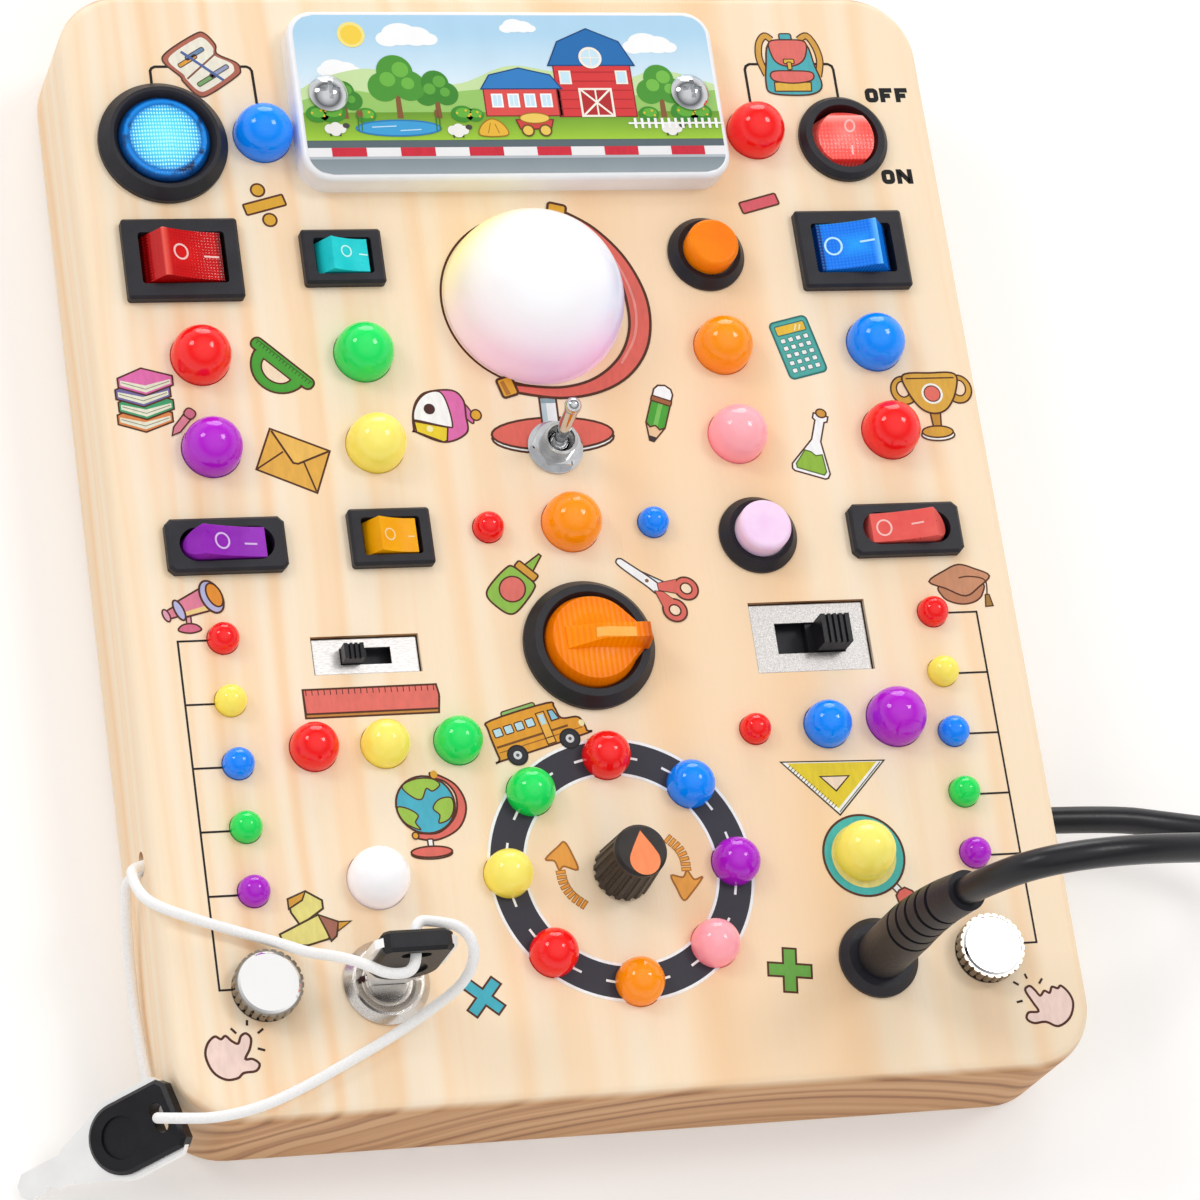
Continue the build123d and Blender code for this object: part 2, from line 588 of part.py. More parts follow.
def rocker_paddle(kind):
    """Paddle about its own axis (Y): two raised ridges, sloped ends, a nose that works the contact."""
    shape = ROCKER_SHAPES[kind]
    length, width = (value - 2 * PADDLE_GAP for value in shape["opening"])
    foot, ridge, rise = length / 2, shape["ridge"], shape["rise"]
    outline = Polyline((foot, rise / 6), (foot, -0.6), (foot - 1.6, -3.0), (1.0, -3.0), (0.8, -5.0),
                       (-0.8, -5.0),
                       (-1.0, -3.0), (1.6 - foot, -3.0), (-foot, -0.6), (-foot, rise / 6), (-ridge, rise))
    top = ThreePointArc((-ridge, rise), (0, rise - PADDLE_DIP), (ridge, rise))
    side = make_face(Curve() + [outline, top, Line((ridge, rise), (foot, rise / 6))])
    paddle = extrude(Plane.XZ * side, width / 2, both=True)
    if kind == "oval":
        paddle &= Pos(0, 0, -10) * extrude(SlotOverall(length, width), 20)
    if kind == "round":
        paddle &= Pos(0, 0, -6) * Cone(length / 2 + 0.2, length / 2 - ROUND_TAPER, 12, align=UP)
    pins = Rot(90, 0, 0) * Cylinder(PIN_R, shape["opening"][1] + 2 * PIN_REACH - 0.3)
    return paddle + pins


def placed_paddle(kind, spot, lean):
    """The paddle in its housing, tipped `lean` degrees about +Y (a positive lean lowers the +X end)."""
    turned_plan = Rot(0, 0, -90) if kind == "round" else Rot(0, 0, 0)
    tipped = Rot(0, lean, 0) * rocker_paddle(kind)
    return on_face(turned_plan * Pos(0, 0, ROCKER_SHAPES[kind]["axis_z"]) * tipped, spot)


def housings(kind):
    turn = Rot(0, 0, -90) if kind == "round" else Rot(0, 0, 0)
    housing = turn * rocker_housing(kind)
    return [on_face(housing, spot) for spot in rocker_spots()[kind]]


# ---------------------------------------------------------------- push buttons
def snap_lugs(radius):
    """Two wedge lugs that hold a round bushing under the panel."""
    wedge = Polyline((radius - 0.4, CEILING - 0.05), (radius + 0.9, CEILING - 0.05),
                     (radius - 0.4, CEILING - 4), close=True)
    lug = Rot(0, 0, 90) * extrude(Plane.XZ * make_face(wedge), 2.5, both=True)
    return lug + Rot(0, 0, 180) * lug


def panel_nut(radius):
    """Hexagon nut that pulls a round body up against the panel's back."""
    return hexagon(2 * radius + NUT_WALLS, CEILING - NUT_T, CEILING) - disc(radius, CEILING - NUT_T - 1,
            CEILING + 1)


def blue_button_bezel():
    low, well = -PUSH_DEPTH, -9.0
    bezel = turned((0, 0), (BLUE_BEZEL_R, 0), (BLUE_BEZEL_R, 1.0), (BLUE_BEZEL_R - 1.6, BLUE_BEZEL_T),
                   (BLUE_LENS_R + 1.0, BLUE_BEZEL_T), (BLUE_LENS_R + RUNNING, 1.6), (0, 1.6))
    bezel += disc(BLUE_BUSHING_R, low, 0)
    bezel -= disc(BLUE_LENS_R + RUNNING, well, 5)
    bezel += snap_lugs(BLUE_BUSHING_R)
    return on_face(bezel, BLUE_BUTTON_AT)


def blue_button_lens():
    top = BLUE_BEZEL_T - 0.2
    lens = turned((0, -5), (BLUE_LENS_R, -5), (BLUE_LENS_R, top - 0.8), (BLUE_LENS_R - 0.8, top),
                  (0, top + 0.5))
    return on_face(lens, BLUE_BUTTON_AT)


def push_housing():
    low, well = -PUSH_DEPTH, -9.5
    bezel = turned((0, 0), (PUSH_BEZEL_R, 0), (PUSH_BEZEL_R, 0.6), (PUSH_CAP_R + 1.1, PUSH_BEZEL_T),
                   (PUSH_CAP_R + 0.3, PUSH_BEZEL_T - 0.4),
                   (0, PUSH_BEZEL_T - 0.4))
    housing = bezel + disc(PUSH_BUSHING_R, low, 0)
    housing -= disc(PUSH_CAP_R + RUNNING, well, PUSH_BEZEL_T + 1)
    return housing + panel_nut(PUSH_BUSHING_R)


def push_cap(spot):
    cap = disc(PUSH_CAP_R, -5.5, PUSH_CAP_TOP)
    return on_face(fillet(cap.edges().group_by(Axis.Z)[-1], 0.9), spot)


def knurled(radius, low, high, count, depth):
    """A disc with a ring of V grooves."""
    groove = Pos(radius, 0, low) * Rot(0, 0, 45) * Box(depth * 1.4, depth * 1.4, high - low, align=UP)
    return disc(radius, low, high) - [Rot(0, 0, 360 / count * i) * groove for i in range(count)]


def tap_button(spot):
    """Knurled metal cap on a stem."""
    cap = knurled(TAP_R, TAP_BEZEL_T + TAP_TRAVEL + 0.1, TAP_TOP, KNURLS, 0.35)
    crown = turned((0, TAP_TOP), (TAP_R - 0.5, TAP_TOP), (TAP_R - 0.9, TAP_TOP + 0.35), (0, TAP_TOP + 0.35))
    stem = disc(TAP_STEM_R, -8.0, TAP_TOP)
    return on_face(cap + crown + stem, spot)


def tap_collar(spot):
    """Flanged sleeve that guides the stem, with the small switch under it."""
    sleeve = ring(TAP_STEM_R + 1, TAP_STEM_R + RUNNING, CEILING, 0)
    flange = ring(TAP_R - 0.1, TAP_STEM_R + RUNNING, 0, TAP_BEZEL_T)
    switch = ring(TAP_SWITCH_R, TAP_STEM_R + RUNNING, CEILING - 4, CEILING) + disc(TAP_SWITCH_R, -13.0,
            CEILING - 4.4)
    return on_face(sleeve + flange + switch
                   + ring(TAP_SWITCH_R, TAP_SWITCH_R - 1, CEILING - 4.4, CEILING - 4), spot)


# ---------------------------------------------------------------- toggle switch
def toggle_body():
    can = block(*TOGGLE_CAN, CEILING - 10, CEILING, 0.8)
    body = can + disc(TOGGLE_BUSHING_R, CEILING, TOGGLE_BUSHING_TOP)
    seat = TOGGLE_BALL_R + RUNNING
    p = TOGGLE_PIVOT_Z
    bore = turned((0, CEILING - 6), (3.0, CEILING - 6), (3.0, CEILING - 1.0), (seat, CEILING - 1.0 + 3.4),
                  (seat, p + 0.6),
                  (TOGGLE_BUSHING_R - 0.55, TOGGLE_BUSHING_TOP),
                  (TOGGLE_BUSHING_R - 0.55, TOGGLE_BUSHING_TOP + 1), (0, TOGGLE_BUSHING_TOP + 1))
    return on_face(body - bore, TOGGLE_AT)


def toggle_nut():
    washer = ring(4.9, TOGGLE_BUSHING_R, 0, 0.5)
    nut = hexagon(TOGGLE_NUT_AF, 0.5, 2.4) - disc(TOGGLE_BUSHING_R, 0, 3)
    nut &= turned((0, 0.4), (4.7, 0.4), (4.7, 1.7), (3.9, 2.5), (0, 2.5))
    return on_face(washer + nut, TOGGLE_AT)


def toggle_lever():
    tip = TOGGLE_REACH
    stick = turned((0, -6.6), (0.7, -6.6), (0.8, 0), (1.05, 1.0), (1.25, tip - 2.0), (1.25, tip - 1.2),
                   (0, tip - 1.2))
    lever = stick + Sphere(TOGGLE_BALL_R) + Pos(0, 0, tip - 1.5) * Sphere(1.5)
    return on_face(Pos(0, 0, TOGGLE_PIVOT_Z) * Rot(-TOGGLE_SWING, 0, 0) * lever, TOGGLE_AT)


# ---------------------------------------------------------------- slide switches
def slide_frame(kind, spot):
    """Steel plate let into the wood, with the can behind it."""
    shape = SLIDE_SHAPES[kind]
    length, width = shape["plate"]
    top = -SLIDE_SET_IN
    frame = block(length, width, top - SLIDE_PLATE_T, top)
    can_l, can_w = length - 2 * SLIDE_CAN_INSET, width - 2 * SLIDE_CAN_INSET * 0.6
    low = top - SLIDE_PLATE_T - SLIDE_CAN_DEPTH
    frame += block(can_l, can_w, low, top)
    frame -= block(can_l - 0.8, can_w - 0.8, low - 1, top - SLIDE_PLATE_T)
    frame -= block(*shape["window"], low, 1)
    return on_face(frame, spot)


def slide_base(kind, spot):
    """Moulded block that fills the can below the slider."""
    shape = SLIDE_SHAPES[kind]
    length, width = shape["plate"]
    can_l, can_w = length - 2 * SLIDE_CAN_INSET - 0.8, width - 2 * SLIDE_CAN_INSET * 0.6 - 0.8
    low = -SLIDE_SET_IN - SLIDE_PLATE_T - SLIDE_CAN_DEPTH
    high = -SLIDE_SET_IN - SLIDE_PLATE_T - 2.2
    return on_face(block(can_l, can_w, low - 0.6, high), spot)


def slide_knob(kind, spot, side):
    """Ribbed knob on the slider that runs under the plate, at one end of its travel."""
    shape = SLIDE_SHAPES[kind]
    length, width = shape["knob"]
    plate_low = -SLIDE_SET_IN - SLIDE_PLATE_T
    knob = block(length, width, plate_low - 0.1, shape["rise"] - SLIDE_SET_IN)
    pitch = length / shape["ribs"]
    for i in range(shape["ribs"] - 1):
        x = -length / 2 + pitch * (i + 1)
        knob -= Pos(x, 0, shape["rise"] - SLIDE_SET_IN) * Box(pitch * 0.45, width + 1, 1.1)
    slider = block(length + 2.4, min(width + 1.4, shape["plate"][1] - 2.8), plate_low - 2.0, plate_low - 0.1)
    return on_face(Pos(side * shape["travel"], 0) * (knob + slider), spot)


# ---------------------------------------------------------------- selector and dial
def selector_bezel():
    bezel = turned((0, 0), (SELECTOR_BEZEL_R, 0), (SELECTOR_BEZEL_R, 0.9),
                   (SELECTOR_BEZEL_R - 1.4, SELECTOR_BEZEL_T),
                   (SELECTOR_LENS_R + 0.7, SELECTOR_BEZEL_T), (SELECTOR_LENS_R + RUNNING, 1.8), (0, 1.8))
    bezel += disc(SELECTOR_BUSHING_R, -PUSH_DEPTH, 0)
    bezel -= disc(SELECTOR_LENS_R + RUNNING, -6.0, 5)
    bezel += snap_lugs(SELECTOR_BUSHING_R)
    return on_face(bezel, SELECTOR_AT)


def selector_knob():
    """Domed lens that runs out to a point towards +X, with a tall drafted rib along it."""
    width, top, start = SELECTOR_RIB
    r, tip = SELECTOR_LENS_R, SELECTOR_TIP
    lens = turned((0, -5.5), (r, -5.5), (r, 2.4), (r - 0.3, SELECTOR_BEZEL_T + 0.1), (r - 1.6, 4.2), (0, 4.8))
    # the outline of the lens, drawn out to the tip by its two tangents
    edge = r - 0.3
    turn = math.atan2(width / 2, tip) + math.acos(edge / math.hypot(tip, width / 2))
    x, y = edge * math.cos(turn), edge * math.sin(turn)
    drop = Circle(edge) + Polygon((x, y), (x, -y), (tip, -width / 2), (tip, width / 2), align=None)
    lens += Pos(0, 0, SELECTOR_BEZEL_T + 0.1) * extrude(drop, 1.3, taper=20)
    outline = Polyline((start, 4.0), (tip, 3.6), (tip, top - 0.8), (tip - 0.4, top), (1.0, top),
                       (start, 4.6), close=True)
    rib = extrude(Plane.XZ * make_face(outline), width, both=True)
    rib &= Pos(0, 0, 3.5) * extrude(Pos(start / 2, 0) * Rectangle(4 * r, width + 1.6), top, taper=13)
    return on_face(lens + rib, SELECTOR_AT)


def dial_knob():
    """Fluted knob on the control's shaft."""
    cone = Pos(0, 0, 0.5) * Cone(DIAL_BASE_R, DIAL_TOP_R, DIAL_TOP - 0.5, align=UP)
    cone = chamfer(cone.edges().group_by(Axis.Z)[-1], 0.5)
    flute = Pos(DIAL_BASE_R + 0.15, 0, 0) * Rot(0, -3.5, 0) * Cylinder(0.5, DIAL_TOP - 1.2, align=UP)
    cone -= [Rot(0, 0, 360 / DIAL_FLUTES * i) * flute for i in range(DIAL_FLUTES)]
    return on_face(cone + disc(DIAL_SHAFT_R, CEILING - 5.0, 1.0), DIAL_AT)


def dial_control():
    """The rotary control behind the panel."""
    body = disc(POT_R, CEILING - POT_T, CEILING) + disc(DIAL_SHAFT_R + 1, CEILING, 0)
    body -= disc(DIAL_SHAFT_R + RUNNING, CEILING - 5.5, 1)
    return on_face(body, DIAL_AT)


# ---------------------------------------------------------------- key lock
def lock_barrel():
    lip, core = LOCK_FLANGE_R - 1.2, LOCK_CORE_R
    flange = turned((0, 0), (LOCK_FLANGE_R, 0), (LOCK_FLANGE_R, 0.5), (lip, LOCK_FLANGE_T),
                    (LOCK_DISH_R, LOCK_FLANGE_T),
                    (core + 0.8, LOCK_DISH_T), (core + 0.5, LOCK_DISH_T), (core + 0.4, LOCK_FLANGE_T),
                    (0, LOCK_FLANGE_T))
    barrel = flange + disc(LOCK_BARREL_R, -LOCK_DEPTH, 0)
    barrel -= disc(LOCK_CORE_R + RUNNING, 1.5 - LOCK_DEPTH, 3)
    return on_face(barrel + panel_nut(LOCK_BARREL_R), LOCK_AT)


def lock_core():
    core = disc(LOCK_CORE_R, -LOCK_DEPTH + 1.6, LOCK_FLANGE_T)
    core -= block(KEY_BLADE[0] + 2 * KEY_FIT, KEY_BLADE[2] + 2 * KEY_FIT,
                  -KEY_BLADE[1] + LOCK_FLANGE_T - 0.6, 3)
    return on_face(core, LOCK_AT)


def key_head_plan(grow=0.0, short=0.0):
    """D-shaped bow seen on its flat, shoulder at the origin and length along +Y."""
    centre = KEY_NECK + KEY_BOW_R
    end = KEY_NECK + KEY_BOW_LEN - short
    r = KEY_BOW_R + grow
    outline = Polyline((-r, centre), (-r, end - 1.2), (-r + 1.2, end), (r - 1.2, end), (r, end - 1.2),
                       (r, centre))
    return make_face(Curve() + [outline, ThreePointArc((r, centre), (0, centre - r), (-r, centre))])


def key_slot_plan(grow=0.0):
    return Pos(0, KEY_NECK + KEY_BOW_LEN - KEY_SLOT_FROM_END) * SlotOverall(KEY_SLOT[0] + 2 * grow,
            KEY_SLOT[1] + 2 * grow)


def key():
    """Flat metal key, blade down, with its moulded bow; shoulder at z = 0, faces along Y."""
    width, blade_len, thick = KEY_BLADE
    half = width / 2
    blade = Polyline((-half, 0), (-half, -blade_len + 1.5), (-half + 1.6, -blade_len),
                     (half - 1.6, -blade_len), (half, -blade_len + 1.5),
                     (half - 0.9, -blade_len + 2.6), (half, -blade_len + 3.7),
                     (half - 1.3, -blade_len + 5.0), (half, -blade_len + 6.3), (half, 0), close=True)
    neck_r = KEY_BOW_R + KEY_RIM
    centre = KEY_NECK + KEY_BOW_R
    neck = Polyline((-half - 0.5, 0), (half + 0.5, 0), (half + 0.9, 1.2),
                    (neck_r * 0.8, centre - neck_r * 0.6), (-neck_r * 0.8, centre - neck_r * 0.6),
                    (-half - 0.9, 1.2), close=True)
    flat = make_face(blade) + make_face(neck) + key_head_plan(KEY_RIM, KEY_RIM)
    upright = Plane.XZ
    metal = extrude(upright * (flat - key_slot_plan(0.3)), thick / 2, both=True)
    bow = extrude(upright * key_head_plan(), KEY_BOW_T / 2, both=True)
    bow = chamfer(bow.edges().group_by(Axis.Y)[0] + bow.edges().group_by(Axis.Y)[-1], KEY_BEVEL)
    bow -= extrude(upright * key_slot_plan(), KEY_BOW_T, both=True)
    dimple = Rot(90, 0, 0) * Cylinder(3.5, 1.0)
    bow -= [Pos(0, side * KEY_BOW_T / 2, centre + 0.2) * dimple for side in (-1, 1)]
    bow -= metal
    return [metal, *bow.solids()]


def lock_key():
    return [on_face(Pos(0, 0, LOCK_FLANGE_T) * piece, LOCK_AT) for piece in key()]


# the spare key leans on the board's corner: its tip, and the direction from tip to bow
SPARE_TIP = (-101.0, -104.05, 0.75)
SPARE_ALONG = Vector(0.735, 0.211, 0.646).normalized()
SPARE_ACROSS = Vector(0.276, -0.961, 0.0).normalized()


def spare_key():
    shoulder = Vector(*SPARE_TIP) + SPARE_ALONG * KEY_BLADE[1]
    place = Plane(origin=shoulder, x_dir=SPARE_ACROSS, z_dir=SPARE_ALONG).location
    return [place * piece for piece in key()]


# ---------------------------------------------------------------- socket, plug, cords
def power_socket():
    flange = turned((0, 0), (SOCKET_FLANGE_R, 0), (SOCKET_FLANGE_R, 0.8),
                    (SOCKET_FLANGE_R - 1.2, SOCKET_FLANGE_T), (0, SOCKET_FLANGE_T))
    socket = flange + disc(SOCKET_BUSHING_R, -SOCKET_DEPTH, 0)
    socket -= ring(PLUG_BARREL_R + 0.08, PLUG_BARREL_BORE_R - 0.3, -PLUG_BARREL_LEN, 5)
    socket -= disc(PLUG_BARREL_R, SOCKET_FLANGE_T - 0.6, 5)
    return on_face(socket + panel_nut(SOCKET_BUSHING_R), SOCKET_AT)


def relief_line():
    """The strain relief's centre line: straight out of the body, then an even bend."""
    foot = Vector(0, 0, SOCKET_FLANGE_T + PLUG_BODY_LEN)
    head = foot + Vector(*PLUG_LEAN, PLUG_RELIEF_LEN)
    return TangentArc(foot, head, tangent=(0, 0, 1))


def power_plug():
    """Moulded plug seated on the socket: metal barrel, round body, grooved strain relief."""
    low = SOCKET_FLANGE_T
    shoulder = low + PLUG_BODY_LEN
    line = relief_line()
    plug = turned((0, low), (PLUG_BODY_R - 0.3, low), (PLUG_BODY_R, low + 1), (PLUG_BODY_R, shoulder),
                  (0, shoulder))
    plug += sweep(Plane(origin=line @ 0, z_dir=line % 0) * Circle(PLUG_CORE_R), path=line)
    starts = [PLUG_GROOVE_W + PLUG_GROOVE_PITCH * i for i in range(PLUG_GROOVES)]
    ends = [start + PLUG_GROOVE_PITCH - PLUG_GROOVE_W for start in starts[:-1]] + [line.length]
    taper = (PLUG_BODY_R - PLUG_RELIEF_END_R) / line.length
    for start, end in zip(starts, ends):
        foot, head = line @ (start / line.length), line @ (end / line.length)
        rib = Cone(PLUG_BODY_R - taper * start, PLUG_BODY_R - taper * end, (head - foot).length, align=UP)
        plug += Plane(origin=foot, z_dir=head - foot).location * rib
    barrel = ring(PLUG_BARREL_R, PLUG_BARREL_BORE_R, low - PLUG_BARREL_LEN, low)
    return on_face(plug + barrel, SOCKET_AT)


def cable_grommet():
    x, y, z = CABLE_HOLE_AT
    sleeve = Cylinder(GROMMET_R, RIM_W - 1) - Cylinder(CABLE_R + FIT, 2 * RIM_W)
    flange = Cylinder(GROMMET_FLANGE_R, GROMMET_FLANGE_T) - Cylinder(CABLE_R + FIT, 3 * GROMMET_FLANGE_T)
    sleeve = Pos(x - (RIM_W - 1) / 2, y, z) * Rot(0, 90, 0) * sleeve
    return sleeve + Pos(x + GROMMET_FLANGE_T / 2, y, z) * Rot(0, 90, 0) * flange


def power_cable():
    """From the plug's strain relief, round in one loop, back through the board's side."""
    line = relief_line()
    end = Vector(*SOCKET_AT, BOARD_T) + line @ 1 + (line % 1) * 0.1
    out = end + (line % 1) * CABLE_STRAIGHT
    hx, hy, hz = CABLE_HOLE_AT
    route = [
        (end.X, end.Y, end.Z), (out.X, out.Y, out.Z), (48.9, -83.0, 79.6), (55.8, -82.7, 82.6),
        (67.0, -82.0, 82.0),
        (82.0, -80.8, 77.0), (99.0, -79.5, 70.5), (116.0, -77.0, 60.0), (129.5, -72.0, 45.5),
        (131.5, -65.8, 27.0),
        (120.0, -59.5, 14.8), (106.0, -56.0, 12.2), (93.0, hy, hz), (hx - RIM_W - 4, hy, hz),
    ]
    return tube(route, CABLE_R, "power_cable")


def lanyard():
    """One cord, both ends in the left side's hole, through the lock key and the spare key."""
    hx, hy, hz = CORD_HOLE_AT
    high, low = hz + 1.05, hz - 1.05
    slot_from_tip = KEY_BLADE[1] + KEY_NECK + KEY_BOW_LEN - KEY_SLOT_FROM_END
    slot = Vector(*SPARE_TIP) + SPARE_ALONG * slot_from_tip
    face = SPARE_ACROSS.cross(SPARE_ALONG)
    above, below = slot + face * 4.3, slot - face * 4.3
    kx, ky = LOCK_AT
    kz = BOARD_T + LOCK_FLANGE_T + KEY_NECK + KEY_BOW_LEN - KEY_SLOT_FROM_END
    route = [
        (hx + 9, hy, high), (hx - 2.0, hy, high), (hx - 2.6, hy - 4.4, high + 3.0),
        (hx - 1.6, hy - 9.2, 25.9), (-75.0, -67.4, 27.4),
        (-67.5, -69.9, 26.6), (-60.5, -72.6, 27.4), (-56.5, -75.9, 31.4), (-53.9, -78.5, 37.6),
        (-50.9, -81.7, 43.3), (kx - 4.5, ky - 4.6, kz - 0.8),
        (kx, ky - 4.3, kz), (kx + 0.2, ky + 4.2, kz), (kx + 4.6, ky + 4.1, kz + 1.0),
        (kx + 8.3, ky + 1.4, kz + 0.6), (-33.3, -81.4, 44.0), (-33.2, -83.6, 37.5),
        (-36.8, -86.0, 30.4), (-43.0, -89.2, 26.7), (-51.0, -93.0, 26.2), (-58.5, -96.6, 26.3),
        (-66.0, -99.6, 27.0), (-73.5, -101.0, 27.2),
        (above.X + 3.5, above.Y - 1.2, above.Z + 3.2), (above.X, above.Y, above.Z),
        (below.X, below.Y, below.Z), (-80.5, -93.4, 12.0), (-80.4, -86.0, 8.6), (-80.5, -77.0, 6.6),
        (-80.9, -68.5, 8.4), (-81.4, -61.5, 12.6), (hx - 2.4, hy, low), (hx + 9, hy, low),
    ]
    return tube(route, CORD_R, "lanyard")


# ---------------------------------------------------------------- terminals and wires
def switch_terminals():
    """Brass blades under every switch body."""
    thick, width, length = BLADE
    blade = Box(thick, width, length, align=(Align.CENTER, Align.CENTER, Align.MAX))
    blades = []
    for kind, spots in rocker_spots().items():
        reach = ROCKER_SHAPES[kind]["opening"][0] / 4
        size = Box(thick, min(width, ROCKER_SHAPES[kind]["opening"][1] * 0.5), length,
                   align=(Align.CENTER, Align.CENTER, Align.MAX))
        blades += [on_face(Pos(side * reach, 0, -ROCKER_DEPTH) * size, spot) for spot in spots
                   for side in (-1, 1)]
    for spot in (BLUE_BUTTON_AT, ORANGE_BUTTON_AT, PINK_BUTTON_AT, SELECTOR_AT):
        blades += [on_face(Pos(side * BLADE_SPREAD, 0, -PUSH_DEPTH) * blade, spot) for side in (-1, 1)]
    blades += [on_face(Pos(0, 4 * i, CEILING - 10) * Box(2.0, 0.8, 3.6,
                                                         align=(Align.CENTER, Align.CENTER, Align.MAX)),
                                                         TOGGLE_AT) for i in (-1, 0, 1)]
    blades += [on_face(Pos(side * BLADE_SPREAD, 0, -LOCK_DEPTH) * blade, LOCK_AT) for side in (-1, 1)]
    blades += [on_face(Pos(side * BLADE_SPREAD, 0, -SOCKET_DEPTH) * blade, SOCKET_AT) for side in (-1, 1)]
    return blades


# ---------------------------------------------------------------- sub-parts
def sub_parts():
    shapes = ROCKER_SHAPES
    return {
        "wood_body": wood_body(),
        "back_cover": back_cover(),
        "cover_screws": cover_screws(),
        "battery_door": battery_door(),
        "battery_tray": battery_tray(),
        "batteries": batteries(),
        "battery_contacts": battery_contacts(),
        "circuit_board": circuit_board(),
        "picture_plate": picture_plate(),
        "plate_screws": plate_screws(),
        "large_leds": lamps("large_leds"),
        "medium_leds": lamps("medium_leds"),
        "small_leds": lamps("small_leds"),
        "led_leads": led_leads(),
        "dome_lens": dome_lens(),
        "dome_led_board": dome_led_board(),
        "large_rocker_housings": housings("large"),
        "small_rocker_housings": housings("small"),
        "oval_rocker_housings": housings("oval"),
        "power_switch_housing": housings("round"),
        "red_rocker": placed_paddle("large", RED_ROCKER_AT, shapes["large"]["swing"]),
        "blue_rocker": placed_paddle("large", BLUE_ROCKER_AT, -shapes["large"]["swing"]),
        "teal_rocker": placed_paddle("small", TEAL_ROCKER_AT, shapes["small"]["swing"]),
        "amber_rocker": placed_paddle("small", AMBER_ROCKER_AT, shapes["small"]["swing"]),
        "purple_rocker": placed_paddle("oval", PURPLE_ROCKER_AT, shapes["oval"]["swing"]),
        "coral_rocker": placed_paddle("oval", CORAL_ROCKER_AT, -shapes["oval"]["swing"]),
        "power_rocker": placed_paddle("round", POWER_SWITCH_AT, shapes["round"]["swing"]),
        "switch_terminals": switch_terminals(),
        "blue_button_bezel": blue_button_bezel(),
        "blue_button_lens": blue_button_lens(),
        "push_button_housings": [on_face(push_housing(), spot)
                                 for spot in (ORANGE_BUTTON_AT, PINK_BUTTON_AT)],
        "orange_button": push_cap(ORANGE_BUTTON_AT),
        "pink_button": push_cap(PINK_BUTTON_AT),
        "tap_button_collars": [tap_collar(spot) for spot in (LEFT_TAP_AT, RIGHT_TAP_AT)],
        "left_tap_button": tap_button(LEFT_TAP_AT),
        "right_tap_button": tap_button(RIGHT_TAP_AT),
        "toggle_body": toggle_body(),
        "toggle_nut": toggle_nut(),
        "toggle_lever": toggle_lever(),
        "small_slide_frame": slide_frame("small", SMALL_SLIDE_AT),
        "small_slide_knob": slide_knob("small", SMALL_SLIDE_AT, -1),
        "large_slide_frame": slide_frame("large", LARGE_SLIDE_AT),
        "large_slide_knob": slide_knob("large", LARGE_SLIDE_AT, 1),
        "slide_switch_bases": [slide_base("small", SMALL_SLIDE_AT), slide_base("large", LARGE_SLIDE_AT)],
        "selector_bezel": selector_bezel(),
        "selector_knob": selector_knob(),
        "dial_control": dial_control(),
        "dial_knob": dial_knob(),
        "lock_barrel": lock_barrel(),
        "lock_core": lock_core(),
        "lock_key": lock_key(),
        "power_socket": power_socket(),
        "power_plug": power_plug(),
        "cable_grommet": cable_grommet(),
        "power_cable": power_cable(),
        "lanyard": lanyard(),
        "spare_key": spare_key(),
    }


os.makedirs("parts", exist_ok=True)
for name, made in sub_parts().items():
    solids = [solid for piece in (made if isinstance(made, list) else [made]) for solid in piece.solids()]
    export_step(Compound(children=solids) if len(solids) > 1 else solids[0], f"parts/{name}.step")
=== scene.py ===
# Wooden busy board: a routed pine block with small lamps, switches, a lock and printed drawings.
# Metres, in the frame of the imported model: the board lies on its back, +Z out of its face.
import bpy
import bmesh
import math
from mathutils import Matrix, Vector
from mathutils.bvhtree import BVHTree
from mathutils.geometry import tessellate_polygon


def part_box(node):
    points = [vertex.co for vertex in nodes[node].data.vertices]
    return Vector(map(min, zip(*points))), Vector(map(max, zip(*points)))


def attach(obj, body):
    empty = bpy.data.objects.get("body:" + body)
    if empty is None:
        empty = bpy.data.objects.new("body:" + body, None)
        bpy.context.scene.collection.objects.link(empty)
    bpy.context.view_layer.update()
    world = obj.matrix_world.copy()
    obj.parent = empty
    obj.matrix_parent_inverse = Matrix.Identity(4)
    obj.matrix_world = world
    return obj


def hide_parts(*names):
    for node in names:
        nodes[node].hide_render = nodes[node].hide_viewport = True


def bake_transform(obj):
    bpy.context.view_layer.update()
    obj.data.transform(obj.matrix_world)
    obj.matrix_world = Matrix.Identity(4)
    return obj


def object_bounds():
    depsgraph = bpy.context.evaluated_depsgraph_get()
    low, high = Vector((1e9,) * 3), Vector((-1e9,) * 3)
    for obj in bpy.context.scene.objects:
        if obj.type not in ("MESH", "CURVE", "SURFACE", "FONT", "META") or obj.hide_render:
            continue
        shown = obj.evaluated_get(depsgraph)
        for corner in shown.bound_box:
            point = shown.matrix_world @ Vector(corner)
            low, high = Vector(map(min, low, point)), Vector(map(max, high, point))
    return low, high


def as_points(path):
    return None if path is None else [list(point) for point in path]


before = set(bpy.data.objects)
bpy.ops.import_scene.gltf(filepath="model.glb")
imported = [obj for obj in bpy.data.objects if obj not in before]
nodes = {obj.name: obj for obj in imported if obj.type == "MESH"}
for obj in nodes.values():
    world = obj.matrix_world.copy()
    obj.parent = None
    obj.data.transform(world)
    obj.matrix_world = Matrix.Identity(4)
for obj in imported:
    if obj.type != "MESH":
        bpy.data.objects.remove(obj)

cad_low, cad_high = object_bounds()

# ---------------------------------------------------------------- camera
# The board is seen from above its lower left, square in the frame, through a long lens.
# The camera is rolled, so the board's long side runs nearly straight up the frame.
def shown(name, data):
    """A new object in the scene."""
    made = bpy.data.objects.new(name, data)
    bpy.context.scene.collection.objects.link(made)
    return made


